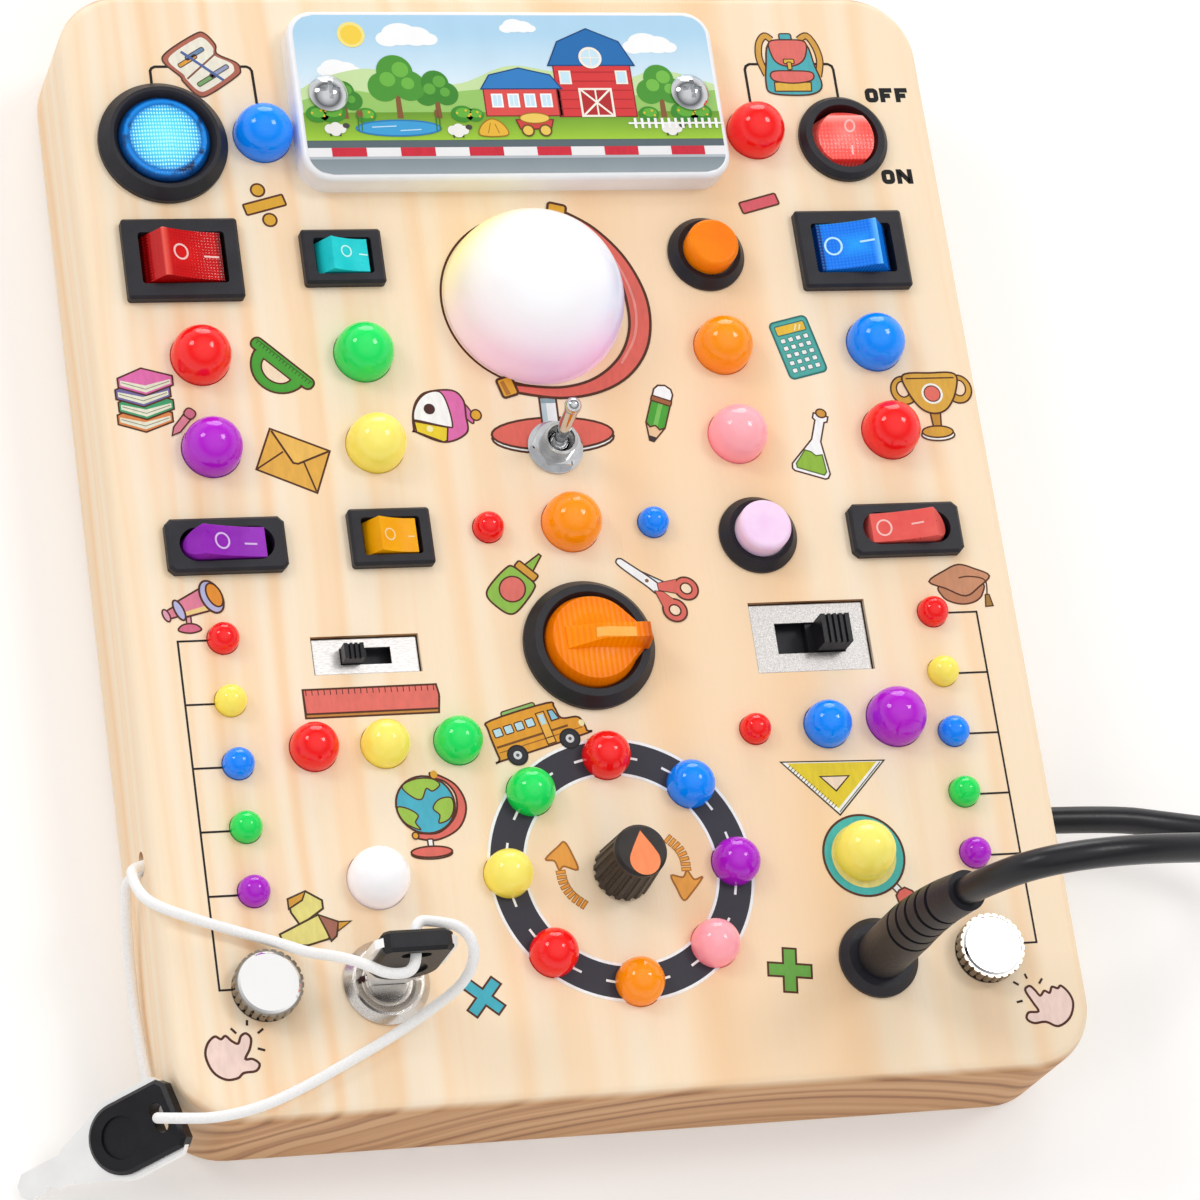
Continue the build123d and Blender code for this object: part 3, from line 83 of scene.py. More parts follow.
eye = Vector((-0.238248, -0.292602, 0.747116))
ahead = Vector((0.298, 0.343, -0.891)).normalized()
right = ahead.cross(Vector((0.034, 0.929, 0.370))).normalized()
up = right.cross(ahead)
lens = bpy.data.cameras.new("studio_camera")
lens.lens, lens.sensor_width = 143.253, 36.0
lens.clip_start, lens.clip_end = 0.05, 20
camera = shown("studio_camera", lens)
axes = zip(right, up, -ahead)
camera.matrix_world = Matrix([(*row, place) for row, place in zip(axes, eye)] + [(0, 0, 0, 1)])
bpy.context.scene.camera = camera

# ---------------------------------------------------------------- power cable
# A thin black PVC lead, extruded over two cores. It leaves the plug's strain relief, comes round
# in one stiff loop and goes back into the board through a rubber grommet in the right side.
MM = 0.001


def linear(colour):
    """An sRGB hex colour as the linear one that a shader takes."""
    parts = [int(colour[i:i + 2], 16) / 255 for i in (1, 3, 5)]
    return (*[p / 12.92 if p <= 0.04045 else ((p + 0.055) / 1.055) ** 2.4 for p in parts], 1.0)


def node(tree, kind, feeds=None, **settings):
    """Adds a node with its settings; each feed is a value, or the node or socket linked to that input."""
    made = tree.nodes.new(kind)
    for name, value in settings.items():
        setattr(made, name, value)
    for name, value in (feeds or {}).items():
        if isinstance(value, bpy.types.Node):
            value = value.outputs[0]
        if isinstance(value, bpy.types.NodeSocket):
            tree.links.new(value, made.inputs[name])
        else:
            made.inputs[name].default_value = value
    return made


def start_finish(name):
    """A new material: its tree, and the place in the piece in millimetres for its patterns."""
    material = bpy.data.materials.new(name)
    material.use_nodes = True
    tree = material.node_tree
    tree.nodes.clear()
    place = node(tree, "ShaderNodeTexCoord").outputs["Object"]
    return material, tree, node(tree, "ShaderNodeMapping", {"Vector": place, "Scale": (1 / MM,) * 3})


def end_finish(tree, feeds, relief=None, depth=0.0):
    """Closes a finish with its shader; relief is a height from 0 to 1, and depth is in millimetres."""
    if relief is not None:
        bump = {"Height": relief, "Distance": depth * MM, "Strength": 1.0}
        feeds["Normal"] = node(tree, "ShaderNodeBump", bump)
    node(tree, "ShaderNodeOutputMaterial", {"Surface": node(tree, "ShaderNodeBsdfPrincipled", feeds)})


def grain(tree, place, size, stretch=(1, 1, 1), detail=3.0, rough=0.5):
    """Cloudy variation whose patches are about `size` millimetres, longer where stretch is above 1."""
    scale = tuple(1 / (size * s) for s in stretch)
    scaled = node(tree, "ShaderNodeMapping", {"Vector": place, "Scale": scale})
    feeds = {"Vector": scaled, "Scale": 1.0, "Detail": detail, "Roughness": rough}
    return node(tree, "ShaderNodeTexNoise", feeds).outputs["Fac"]


def shades(tree, amount, *stops):
    """Colours along an amount from 0 to 1: pairs of place and hex colour."""
    ramp = node(tree, "ShaderNodeValToRGB", {"Fac": amount})
    while len(ramp.color_ramp.elements) < len(stops):
        ramp.color_ramp.elements.new(0.5)
    for element, (place, colour) in zip(ramp.color_ramp.elements, stops):
        element.position, element.color = place, linear(colour)
    return ramp.outputs["Color"]


def span(tree, amount, low, high):
    """An amount from 0 to 1 as a number between low and high."""
    feeds = {"Value": amount, "To Min": low, "To Max": high}
    return node(tree, "ShaderNodeMapRange", feeds).outputs["Result"]


def cord_tube(name, points, radius, material):
    """A free cord on one smooth curve, led by its route's points in millimetres, and its centreline."""
    curve = bpy.data.curves.new(name, "CURVE")
    curve.dimensions, curve.resolution_u, curve.use_fill_caps = "3D", 10, True
    curve.bevel_depth, curve.bevel_resolution = radius * MM, 5
    line = curve.splines.new("NURBS")
    line.points.add(len(points) - 1)
    for knot, point in zip(line.points, points):
        knot.co = (*[p * MM for p in point], 1)
    line.order_u = 3
    line.use_endpoint_u = True
    curve.materials.append(material)
    route = shown(name + "_route", curve)
    piece = shown(name, bpy.data.meshes.new_from_object(route))
    curve.bevel_depth = 0
    centreline = [vertex.co.copy() for vertex in bpy.data.meshes.new_from_object(route).vertices]
    bpy.data.objects.remove(route)
    return piece, centreline


# Soft PVC: black and rather glossy, with a faint orange-peel skin that breaks its long highlight a little.
pvc, tree, mm = start_finish("black_pvc_sheath")
skin = grain(tree, mm, 0.5)
end_finish(tree, {
    "Base Color": shades(tree, grain(tree, mm, 9), (0.3, "#141316"), (0.7, "#1D1B20")),
    "Roughness": span(tree, skin, 0.26, 0.38), "Specular IOR Level": 0.4,
}, skin, 0.02)
cable_route = [
    (43.9, -81.9, 64.6), (45.1, -82.8, 72.9), (48.9, -83.0, 79.6), (55.8, -82.7, 82.6), (67.0, -82.0, 82.0),
    (82.0, -80.8, 77.0), (99.0, -79.5, 70.5), (116.0, -77.0, 60.0), (129.5, -72.0, 45.5),
    (131.5, -65.8, 27.0), (120.0, -59.5, 14.8), (106.0, -56.0, 12.2), (93.0, -54.0, 13.0),
    (68.5, -54.0, 13.0),
]
cable, cable_middle = cord_tube("power_lead", cable_route, 2.4, pvc)
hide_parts("power_cable")
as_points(cable_middle)
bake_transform(cable)

# ---------------------------------------------------------------- key lanyard
# One round white braided cord. Both ends go into the hole in the left side; it passes through
# the lock key's slot and hangs on to the spare key, which leans on the board's corner.
braid, tree, mm = start_finish("white_polyester_braid")
# Bright white with a soft fuzz; strands under half a millimetre wide show only as a faint grain.
strand = grain(tree, mm, 0.4, detail=2)
end_finish(tree, {
    "Base Color": shades(tree, strand, (0.3, "#F6F3F1"), (0.7, "#FFFEFD")),
    "Roughness": span(tree, strand, 0.66, 0.8),
    "Sheen Weight": 0.3, "Sheen Roughness": 0.5,
    "Subsurface Weight": 0.35, "Subsurface Radius": (0.8, 0.8, 0.8), "Subsurface Scale": MM,
}, strand, 0.03)
lanyard_route = [
    (-70.0, -55.0, 18.45), (-81.0, -55.0, 18.45), (-81.6, -59.4, 21.45), (-80.6, -64.2, 25.9),
    (-75.0, -67.4, 27.4), (-67.5, -69.9, 26.6), (-60.5, -72.6, 27.4), (-56.5, -75.9, 31.4),
    (-53.9, -78.5, 37.6), (-50.9, -81.7, 43.3), (-47.2, -84.4, 44.7), (-42.7, -84.1, 45.5),
    (-42.5, -75.6, 45.0), (-38.0, -75.6, 43.6), (-33.8, -76.6, 43.2), (-31.6, -80.0, 41.6),
    (-32.4, -83.6, 36.2), (-36.8, -86.0, 30.4), (-43.0, -89.2, 26.7), (-51.0, -93.0, 26.2),
    (-58.5, -96.6, 26.3), (-66.0, -99.6, 27.0), (-73.5, -101.0, 27.2), (-79.53, -100.09, 25.37),
    (-83.03, -98.89, 22.17), (-77.70, -97.36, 15.60), (-80.5, -93.4, 12.0), (-80.4, -86.0, 8.6),
    (-80.5, -77.0, 6.6), (-80.9, -68.5, 8.4), (-81.4, -61.5, 12.6), (-81.4, -55.0, 16.35),
    (-70.0, -55.0, 16.35),
]
lanyard, lanyard_middle = cord_tube("key_lanyard", lanyard_route, 0.9, braid)
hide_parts("lanyard")
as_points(lanyard_middle)
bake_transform(lanyard)

# ---------------------------------------------------------------- studio
# A plain white table under a soft white room: most of the light comes from all round.
# Two softboxes in front and a strip behind leave the small highlights on the round lamps.
def seen_or_mirrored(tree):
    """1 where a surface is seen, mirrored or looked through and 0 for its light; and the kinds of ray."""
    rays = node(tree, "ShaderNodeLightPath").outputs
    either = node(tree, "ShaderNodeMath", {0: rays["Is Camera Ray"], 1: rays["Is Glossy Ray"]},
        operation="MAXIMUM")
    seen = node(tree, "ShaderNodeMath", {0: either, 1: rays["Is Transmission Ray"]}, operation="MAXIMUM")
    return seen, rays


floor_material, tree, mm = start_finish("white_table")
seen, rays = seen_or_mirrored(tree)
lit = node(tree, "ShaderNodeBsdfDiffuse", {"Color": linear("#EDEBE9")})
brighter = node(tree, "ShaderNodeMath", {0: seen, 1: 0.22}, operation="MULTIPLY")
glow = node(tree, "ShaderNodeEmission", {"Color": (1, 1, 1, 1), "Strength": brighter})
node(tree, "ShaderNodeOutputMaterial", {"Surface": node(tree, "ShaderNodeAddShader", {0: lit, 1: glow})})
table_top = bpy.data.meshes.new("table_top")
TABLE_REACH, TABLE_GAP = 4, 0.0001
corners = [(x * TABLE_REACH, y * TABLE_REACH, 0) for x, y in ((-1, -1), (1, -1), (1, 1), (-1, 1))]
table_top.from_pydata(corners, [], [(0, 1, 2, 3)])
table_top.materials.append(floor_material)
table = shown("table_top", table_top)
table.location.z = cad_low.z - TABLE_GAP

room = bpy.data.worlds.new("soft_white_room")
room.use_nodes = True
tree = room.node_tree
tree.nodes.clear()
seen, rays = seen_or_mirrored(tree)
# Walls and the light overhead are white, with a dim band between them that gives chrome its depth.
way_there = node(tree, "ShaderNodeTexCoord").outputs["Generated"]
height = node(tree, "ShaderNodeSeparateXYZ", {"Vector": way_there}).outputs["Z"]
ceiling = shades(tree, height, (0.0, "#FFFFFF"), (0.25, "#FFFFFF"), (0.58, "#757577"), (0.94, "#FFFFFF"))
plain = (1, 1, 1, 1)
mirrored = node(tree, "ShaderNodeMixRGB", {"Fac": rays["Is Glossy Ray"], "Color1": plain, "Color2": ceiling})
walls = node(tree, "ShaderNodeBackground", {"Color": mirrored, "Strength": span(tree, seen, 0.75, 1.0)})
node(tree, "ShaderNodeOutputWorld", {"Surface": walls})
bpy.context.scene.world = room
bpy.context.scene.view_settings.view_transform = "Standard"

# each lamp: direction to it (right, up, towards the camera), disc in degrees, irradiance
for name, (x, y, z), disc, power in (
    ("softbox_left", (-0.53, 0.62, 0.573), 16, 0.43), ("softbox_right", (0.65, 0.527, 0.546), 16, 0.49),
    ("strip_behind", (0.036, 0.96, -0.22), 34, 0.9),
):
    lamp = bpy.data.lights.new(name, "SUN")
    lamp.energy, lamp.angle = power, math.radians(disc)
    softbox = shown(name, lamp)
    softbox.rotation_mode = "QUATERNION"
    softbox.rotation_quaternion = (x * right + y * up - z * ahead).to_track_quat("Z", "Y")

# ---------------------------------------------------------------- pine board
# One flat-sawn pine plank, sanded smooth and left nearly raw, with its edges rounded over.
# Its pocket and holes are routed from the back and the face.
pine, tree, mm = start_finish("sanded_pine")
# Growth rings about a pith well below the face: soft narrow bands along the board, closer and
# browner arcs where the ends and sides cut across them.
RING_WIDTH, FROM_PITH = 3.2, (-24, 0, 62)
wander = node(tree, "ShaderNodeCombineXYZ", {"X": span(tree, grain(tree, mm, 30, (1, 5, 1), 2), -5, 5)})
offset = node(tree, "ShaderNodeVectorMath", {0: wander, 1: mm}, operation="ADD")
centred = node(tree, "ShaderNodeMapping", {"Vector": offset, "Location": FROM_PITH})
axes = node(tree, "ShaderNodeSeparateXYZ", {"Vector": centred}).outputs
across = node(tree, "ShaderNodeCombineXYZ", {"X": axes["X"], "Z": axes["Z"]})
radius = node(tree, "ShaderNodeVectorMath", {0: across}, operation="LENGTH").outputs["Value"]
year = node(tree, "ShaderNodeMath", {0: radius, 1: RING_WIDTH}, operation="DIVIDE")
feeds = {"W": year, "Scale": 1.0, "Detail": 1.5}
rings = node(tree, "ShaderNodeTexNoise", feeds, noise_dimensions="1D").outputs["Fac"]
late = shades(tree, rings, (0.3, "#FFECD2"), (0.5, "#FFE6C6"), (0.62, "#FFDFBA"), (0.78, "#FDD5A9"))
# The ends show end grain, which drinks more light: the same rings, darker and sharper.
normal = node(tree, "ShaderNodeNewGeometry").outputs["Normal"]
facing = node(tree, "ShaderNodeSeparateXYZ", {"Vector": normal})
lengthways = node(tree, "ShaderNodeMath", {0: facing.outputs["Y"]}, operation="ABSOLUTE")
on_end = node(tree, "ShaderNodeMapRange", {"Value": lengthways, "From Min": 0.45, "From Max": 0.95})
end_rings = shades(tree, rings, (0.35, "#D6A576"), (0.55, "#C48D5C"), (0.72, "#965F36"))
sawn = node(tree, "ShaderNodeMixRGB", {"Fac": on_end, "Color1": late, "Color2": end_rings})
# Short fine fibres, about 0.25 mm wide and a few centimetres long, keep the sanded face from looking painted.
fibre = grain(tree, mm, 0.5, (1, 50, 1), 2)
fibrous = span(tree, fibre, 0.0, 0.16)
tint = node(tree, "ShaderNodeMixRGB", {"Fac": fibrous, "Color1": sawn, "Color2": linear("#F6CF9C")})
end_finish(tree, {
    "Base Color": tint, "Roughness": span(tree, fibre, 0.5, 0.66),
    "Subsurface Weight": 0.06, "Subsurface Radius": (1.0, 0.6, 0.3), "Subsurface Scale": MM,
}, fibre, 0.04)


def dress(names, *materials):
    """Gives CAD nodes their finishes."""
    for name in names.split():
        slots = nodes[name].data.materials
        slots.clear()
        for material in materials:
            slots.append(material)


dress("wood_body", pine)

# ---------------------------------------------------------------- printed drawings
# School things, a ring road and thin wiring lines, printed straight on the sanded wood in UV-cured inks.
# Each colour is a film a few thousandths of a millimetre thick over the one below it.
def printing_ink(name, coarse, fade, gloss):
    """A set of cured inks: the colour comes from the drawing, and a faint cloud runs through it."""
    material, tree, mm = start_finish(name)
    film = grain(tree, mm, coarse, (1, 3, 1), 3)
    cloud = shades(tree, film, (0.3, fade), (0.7, "#FFFFFF"))
    printed = node(tree, "ShaderNodeAttribute", attribute_name="ink").outputs["Color"]
    tone = node(tree, "ShaderNodeMixRGB", {"Fac": 1.0, "Color1": printed, "Color2": cloud},
        blend_type="MULTIPLY")
    feeds = {"Base Color": tone, "Roughness": span(tree, film, *gloss), "Specular IOR Level": 0.3}
    end_finish(tree, feeds, film, 0.004 * coarse)
    return material


# On wood the cured ink is satin and a little uneven, because the fibres show in its sheen.
INK_GLOSS = (0.42, 0.6)
ink = printing_ink("uv_inks_on_wood", 0.8, "#F1F1F1", INK_GLOSS)
BROWN, CORAL, MUSTARD = "#56290F", "#EA6A5C", "#E8A930"
LEAF, WHITE, SOFT_PINK = "#49A632", "#FFFFFF", "#E56FB0"
FACE = 25.0                     # the board's face above its back, in millimetres
FIRST_FILM, FILM = 0.015, 0.006     # the lowest film above its surface, and the step to the next film
PEN = 0.32                      # the pen that outlines most drawings


def placed(points, x, y, turn=0):
    """Points of a small drawing, turned by degrees and moved to their place on the face."""
    c, s = math.cos(math.radians(turn)), math.sin(math.radians(turn))
    return [(x + px * c - py * s, y + px * s + py * c) for px, py in points]


def smooth(points, closed=True, steps=6):
    """A freehand curve through the given points."""
    count, curve = len(points), []
    for i in range(count if closed else count - 1):
        near = [(i + k) % count if closed else min(max(i + k, 0), count - 1) for k in (-1, 0, 1, 2)]
        a, b, c, d = (Vector(points[k]) for k in near)
        for t in (step / steps for step in range(steps)):
            square, cube = 2 * a - 5 * b + 4 * c - d, 3 * b - a - 3 * c + d
            curve.append(0.5 * (2 * b + (c - a) * t + square * t * t + cube * t ** 3))
    return curve if closed else curve + [Vector(points[-1])]


def oval(x, y, across, along=None, start=0, end=360, turn=0, steps=32):
    """An ellipse, or part of one, from two radii."""
    along = across if along is None else along
    count = steps if end - start == 360 else steps + 1
    angles = [math.radians(start + (end - start) * i / steps) for i in range(count)]
    return placed([(across * math.cos(t), along * math.sin(t)) for t in angles], x, y, turn)


def bar(x, y, length, width, turn=0, corner=0.3):
    """A rectangle with rounded corners."""
    points = []
    for sx, sy, first in ((1, 1, 0), (-1, 1, 90), (-1, -1, 180), (1, -1, 270)):
        middle = sx * (length / 2 - corner), sy * (width / 2 - corner)
        points += oval(*middle, corner, start=first, end=first + 90, steps=4)
    return placed(points, x, y, turn)


class Print:
    """Films of ink on a flat surface at a height; each new film lies a hair above the last."""

    def __init__(self, height):
        self.sheet, self.height = bmesh.new(), height
        self.tone = self.sheet.loops.layers.float_color.new("ink")

    def begin(self, level, *way):
        """Starts a drawing above so many films, moved and turned as placed() does."""
        self.level, self.way = level, way or (0, 0)

    def film(self, corners, faces, colour):
        """Faces over corners; the colour is one hex value, or a function from a place to one."""
        self.level += 1
        height = self.height + FIRST_FILM + FILM * self.level
        made = [self.sheet.verts.new((x * MM, y * MM, height * MM)) for x, y in corners]
        for loop in faces:
            ring = [made[i] for i in loop]
            if (ring[1].co - ring[0].co).cross(ring[2].co - ring[0].co).z < 0:
                ring.reverse()
            for corner in self.sheet.faces.new(ring).loops:
                x, y, _ = corner.vert.co / MM
                corner[self.tone] = linear(colour(x, y) if callable(colour) else colour)

    def fill(self, outline, colour):
        """One film inside an outline."""
        outline = placed(outline, *self.way)
        self.film(outline, tessellate_polygon([[Vector((*p, 0)) for p in outline]]), colour)

    def line(self, points, width=PEN, colour=BROWN, closed=False):
        """A pen line of even width with mitred bends."""
        points = placed(points, *self.way)
        count, rails = len(points), []
        for i, point in enumerate(points):
            here = Vector(point)
            ways = [here - Vector(points[i - 1])] if closed or i else []
            ways += [Vector(points[(i + 1) % count]) - here] if closed or i < count - 1 else []
            ways = [way.normalized() for way in ways if way.length > 1e-6]
            along = sum(ways, Vector((0, 0))).normalized()
            side = Vector((-along.y, along.x)) * width / 2 / max(0.5, along.dot(ways[0]))
            rails += [tuple(here + side), tuple(here - side)]
        spans, ends = count if closed else count - 1, 2 * count
        self.film(rails, [(i, i + 1, (i + 3) % ends, (i + 2) % ends) for i in range(0, 2 * spans, 2)], colour)

    def shape(self, outline, colour, width=PEN, edge=BROWN):
        """A filled outline with a pen line round it."""
        self.fill(outline, colour)
        self.line(outline, width, edge, closed=True)


def ink_piece(name, sheet, material, part):
    """Makes a sheet of ink films a piece that rides on a part."""
    mesh = bpy.data.meshes.new(name)
    sheet.to_mesh(mesh)
    mesh.materials.append(material)
    piece = shown(name, mesh)
    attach(piece, part)


p = Print(FACE)

# wiring lines: tap buttons to the tally columns, and the two top lamps to their switches
WIRE = "#20130E"
for x, lamp, button, foot in ((-70.4, -65.4, -68.0, -79.4), (71.1, 65.4, 68.9, -79.5)):
    p.begin(0)
    p.line([(lamp, -19.3), (x, -19.3), (x + 0.1, foot), (button, foot)], 0.36, WIRE)
    for y in (-30.5, -41.6, -52.6, -63.6):
        p.line([(lamp, y), (x, y)], 0.36, WIRE)
p.begin(0)
p.line([(-63.4, 83.4), (-63.4, 86.3), (-63.1, 86.8), (-62.5, 87.1), (-46.3, 87.1), (-45.7, 86.8),
    (-45.4, 86.2), (-45.2, 78.4)], 0.5, WIRE)
p.line([(45.4, 79.4), (45.4, 86.4), (45.7, 87.1), (46.4, 87.5), (61.4, 87.5), (62.1, 87.1), (62.3, 86.4),
    (62.3, 80.0)], 0.5, WIRE)

# ring road: eight stretches between the lamps, with white kerb lines
LAMP_RING, RING_LAMPS, ROAD_OUT, ROAD_IN = (0.0, -62.6), 19.8, 22.8, 16.7
for stretch in range(8):
    start = 45 * stretch + 6.2
    p.begin(0)
    outer = oval(*LAMP_RING, ROAD_OUT, start=start, end=start + 32.6, steps=16)
    inner = oval(*LAMP_RING, ROAD_IN, start=start + 2, end=start + 30.6, steps=16)
    p.fill(outer + inner[::-1], "#37353F")
    p.line(outer, 0.5, WHITE)
    p.line(inner, 0.5, WHITE)

# arithmetic signs
for way, colour, reach, half in (
    ((-26.6, -83.2, -41), "#45B4C6", 3.6, 1.0), ((26.5, -81.8, -7), "#6CAB45", 3.8, 1.15),
):
    p.begin(0, *way)
    arm = [(half, half), (half, reach), (-half, reach)]
    p.shape([point for quarter in range(4) for point in placed(arm, 0, 0, 90 * quarter)], colour, 0.36)
p.begin(0)
SIGN_EDGE = "#5E2F17"
p.shape(bar(-46.2, 60.4, 7.4, 2.1, 15, 0.25), "#E6AC33", 0.36, SIGN_EDGE)
for dot in ((-47.1, 63.2), (-45.6, 57.5)):
    p.shape(oval(*dot, 1.2, steps=20), "#E6AC33", 0.34, SIGN_EDGE)
p.shape(bar(43.8, 59.7, 7.3, 2.2, 15, 0.35), "#E2606B", 0.34, SIGN_EDGE)

# globe stand round the dome lamp: coral meridian with two mustard pivots, a post and a round foot
p.begin(0)
p.line(oval(-0.8, 41.5, 16.35, start=95, end=265, steps=48), 0.4)
p.shape(oval(-0.7, 15.6, 10.9, 3.0), "#F6F6F2", 0.4)
p.shape(oval(-0.7, 16.3, 10.9, 3.0), CORAL, 0.4)
p.shape([(-2.2, 23.0), (0.8, 23.0), (0.7, 18.2), (-2.3, 18.2)], "#F4F7F8", 0.36)
p.fill([(-2.0, 22.8), (-1.1, 22.8), (-1.2, 18.4), (-2.1, 18.4)], "#BFD3DA")
p.fill([(-2.0, 22.9), (0.6, 22.9), (0.6, 22.0), (-2.0, 22.0)], "#8FA6AE")
outside = smooth([(6.6, 58.9), (12.4, 55.2), (17.4, 49.0), (20.1, 41.0), (19.2, 33.2), (15.3, 27.4),
    (9.3, 24.0), (1.6, 22.9), (-7.0, 24.3)], closed=False)
inside = smooth([(-6.0, 25.6), (1.8, 24.9), (8.2, 26.4), (13.2, 30.2), (15.9, 35.3), (16.3, 41.0),
    (15.2, 46.5), (11.6, 52.8), (6.4, 57.5)], closed=False)
p.shape(outside + inside, CORAL, 0.5)
glint = smooth([(9.5, 55.3), (15.0, 49.4), (17.6, 41.4), (16.9, 34.6), (13.6, 29.2)], closed=False)
p.line(glint, 0.45, "#F5978A")
p.shape(bar(6.0, 58.7, 3.3, 2.6, -14, 0.5), MUSTARD, 0.45)
p.shape(bar(-7.6, 25.2, 2.9, 3.6, 16, 0.5), MUSTARD, 0.45)
p.fill(placed([(-0.9, 1.2), (-0.2, 1.3), (0.1, -1.4), (-0.8, -1.4)], -7.6, 25.2, 16), "#B9772A")

# protractor
p.begin(0, -45.9, 31.3, -43.7)
p.shape(oval(0, -1.6, 5.1, 5.3, 180, 360, steps=20), LEAF, 0.36)
p.shape(bar(0, -1.1, 13.0, 2.3, corner=1.0), LEAF, 0.36)
p.fill(oval(0, -1.9, 4.8, 4.6, 180, 360, steps=16), LEAF)
p.line([(-6.0, -0.5), (6.0, -0.5)], 0.16, "#2F7423")
p.shape(oval(0, -2.6, 2.9, 2.5, 180, 360, steps=16), "#FDE3C4", 0.3)

# calculator
p.begin(0, 46.55, 31.6, 13.2)
p.shape(bar(0, 0, 7.3, 11.1, corner=0.9), "#3E9E97", 0.3, "#2B6B68")
p.fill(bar(0, 0, 6.7, 10.5, corner=0.7), "#4FB0A7")
p.shape(bar(0, 3.75, 5.7, 1.8, corner=0.3), "#F0C23A", 0.2, "#2B6B68")
p.line([(0.6, 3.2), (1.3, 4.3)], 0.28, "#FBF0C4")
p.line([(1.5, 3.2), (2.0, 4.1)], 0.28, "#FBF0C4")
for key in range(20):
    p.level = 6
    row, column = divmod(key, 4)
    p.shape(bar(-2.25 + 1.5 * column, 1.75 - 1.45 * row, 0.95, 0.85, corner=0.2), "#F7F7F4", 0.12, "#2B6B68")

# stack of books with a short pencil
p.begin(0)
for x, y, cover in (
    (-0.5, 0.0, "#E58A4A"), (-0.1, 2.3, "#3FA46E"), (-0.4, 4.6, "#766CA6"), (0.2, 6.7, SOFT_PINK),
):
    p.way = (x, y)
    p.shape([(-75.6, 19.9), (-71.0, 18.4), (-66.2, 20.2), (-66.2, 21.9), (-71.4, 23.4), (-75.6, 21.6)],
        cover, 0.3)
    p.fill([(-75.2, 20.3), (-71.0, 18.9), (-66.6, 20.5), (-66.6, 21.3), (-71.0, 20.2), (-75.2, 21.2)],
        "#EDEBD2")
    p.line([(-75.0, 20.8), (-71.0, 19.5), (-66.8, 20.9)], 0.14, "#8C8A70")
p.way = (-65.2, 19.9, -41)
p.shape([(-0.7, -1.6), (0, -3.0), (0.7, -1.6), (0.75, 1.3), (-0.75, 1.3)], "#E8879A", 0.26)
p.shape(bar(0, 2.2, 1.9, 1.8, corner=0.7), "#D8718A", 0.26)

# envelope
p.begin(0)
corners = [(-50.3, 18.5), (-40.4, 14.1), (-43.5, 6.5), (-53.5, 11.1)]
p.shape(corners, "#EDB24A", 0.34)
p.line([(-53.3, 11.2), (-48.5, 14.2)], 0.3)
p.line([(-43.6, 6.8), (-45.2, 12.4)], 0.3)
p.fill([(-50.2, 18.2), (-46.6, 11.6), (-40.7, 14.0)], "#F4BF5C")
p.line([(-50.1, 18.1), (-47.0, 12.1), (-46.2, 11.9), (-40.7, 14.0)], 0.36)

# pencil sharpener with a crank
p.begin(0)
p.shape(smooth([(-15.9, 22.4), (-14.7, 20.8), (-14.4, 19.0), (-14.8, 18.6), (-15.9, 20.0)]), SOFT_PINK, 0.28)
p.shape(oval(-13.9, 20.1, 0.95, 1.0, steps=16), MUSTARD, 0.28)
p.shape(smooth([(-25.2, 17.6), (-25.0, 20.6), (-23.9, 23.2), (-21.9, 24.6), (-17.6, 24.8), (-15.8, 23.0),
    (-15.7, 20.0), (-16.0, 16.8), (-20.1, 15.2), (-24.9, 17.2)]), SOFT_PINK, 0.34)
p.shape(smooth([(-25.0, 19.0), (-24.8, 21.0), (-23.6, 23.2), (-21.8, 24.5), (-19.7, 24.5), (-18.7, 22.2),
    (-18.3, 18.4), (-19.2, 18.0), (-24.6, 19.4)]), "#FFFDFB", 0.28)
p.shape([(-25.0, 19.2), (-19.2, 17.9), (-19.6, 15.5), (-20.2, 15.2), (-24.8, 17.2)], "#F0D22C", 0.3)
p.fill(oval(-22.4, 17.7, 0.6, steps=10), "#F9F0B0")
p.fill(oval(-22.0, 21.4, 1.0, steps=18), "#4A1F1D")

# pencil
p.begin(0, 18.9, 19.7, -20.6)
p.shape([(-1.75, 2.6), (-1.75, 4.2), (-1.2, 5.1), (0, 5.5), (1.2, 5.1), (1.75, 4.2), (1.75, 2.6)], "#FFFFFF")
p.shape([(-1.7, -2.6), (-0.4, -5.6), (0.4, -5.6), (1.7, -2.6)], "#EFC79B", 0.3)
p.fill([(-0.8, -4.7), (-0.4, -5.7), (0.4, -5.7), (0.8, -4.7)], "#3B2A26")
p.shape([(-1.75, 2.2), (1.75, 2.2), (1.75, -2.4), (0.9, -3.1), (0, -2.5), (-0.9, -3.1), (-1.75, -2.4)],
    LEAF, 0.3)
p.fill([(-0.4, 2.0), (0.4, 2.0), (0.4, -2.6), (0, -2.4), (-0.4, -2.6)], "#7CC45A")
p.shape(bar(0, 2.4, 3.7, 1.0, corner=0.2), "#A9653B", 0.26)

# flask
p.begin(0, 46.6, 12.6, -18.5)
flask = [(-1.35, 6.3), (-1.35, 5.3), (-0.85, 5.0), (-0.85, 1.2), (-3.5, -4.4), (-3.3, -5.3), (-2.8, -5.6),
    (2.8, -5.6), (3.3, -5.3), (3.5, -4.4), (0.85, 1.2), (0.85, 5.0), (1.35, 5.3), (1.35, 6.3)]
p.shape(flask, "#FFFFFF", 0.3)
p.shape([(-1.7, -1.2), (-2.8, -4.2), (-2.5, -4.9), (2.5, -4.9), (2.8, -4.2), (1.5, -1.2), (0.4, -1.7),
    (-0.6, -1.2)], "#93BE3C", 0.24, "#55721F")
p.shape(oval(0, 6.6, 0.95, 0.8, steps=16), "#D79A3C", 0.28)

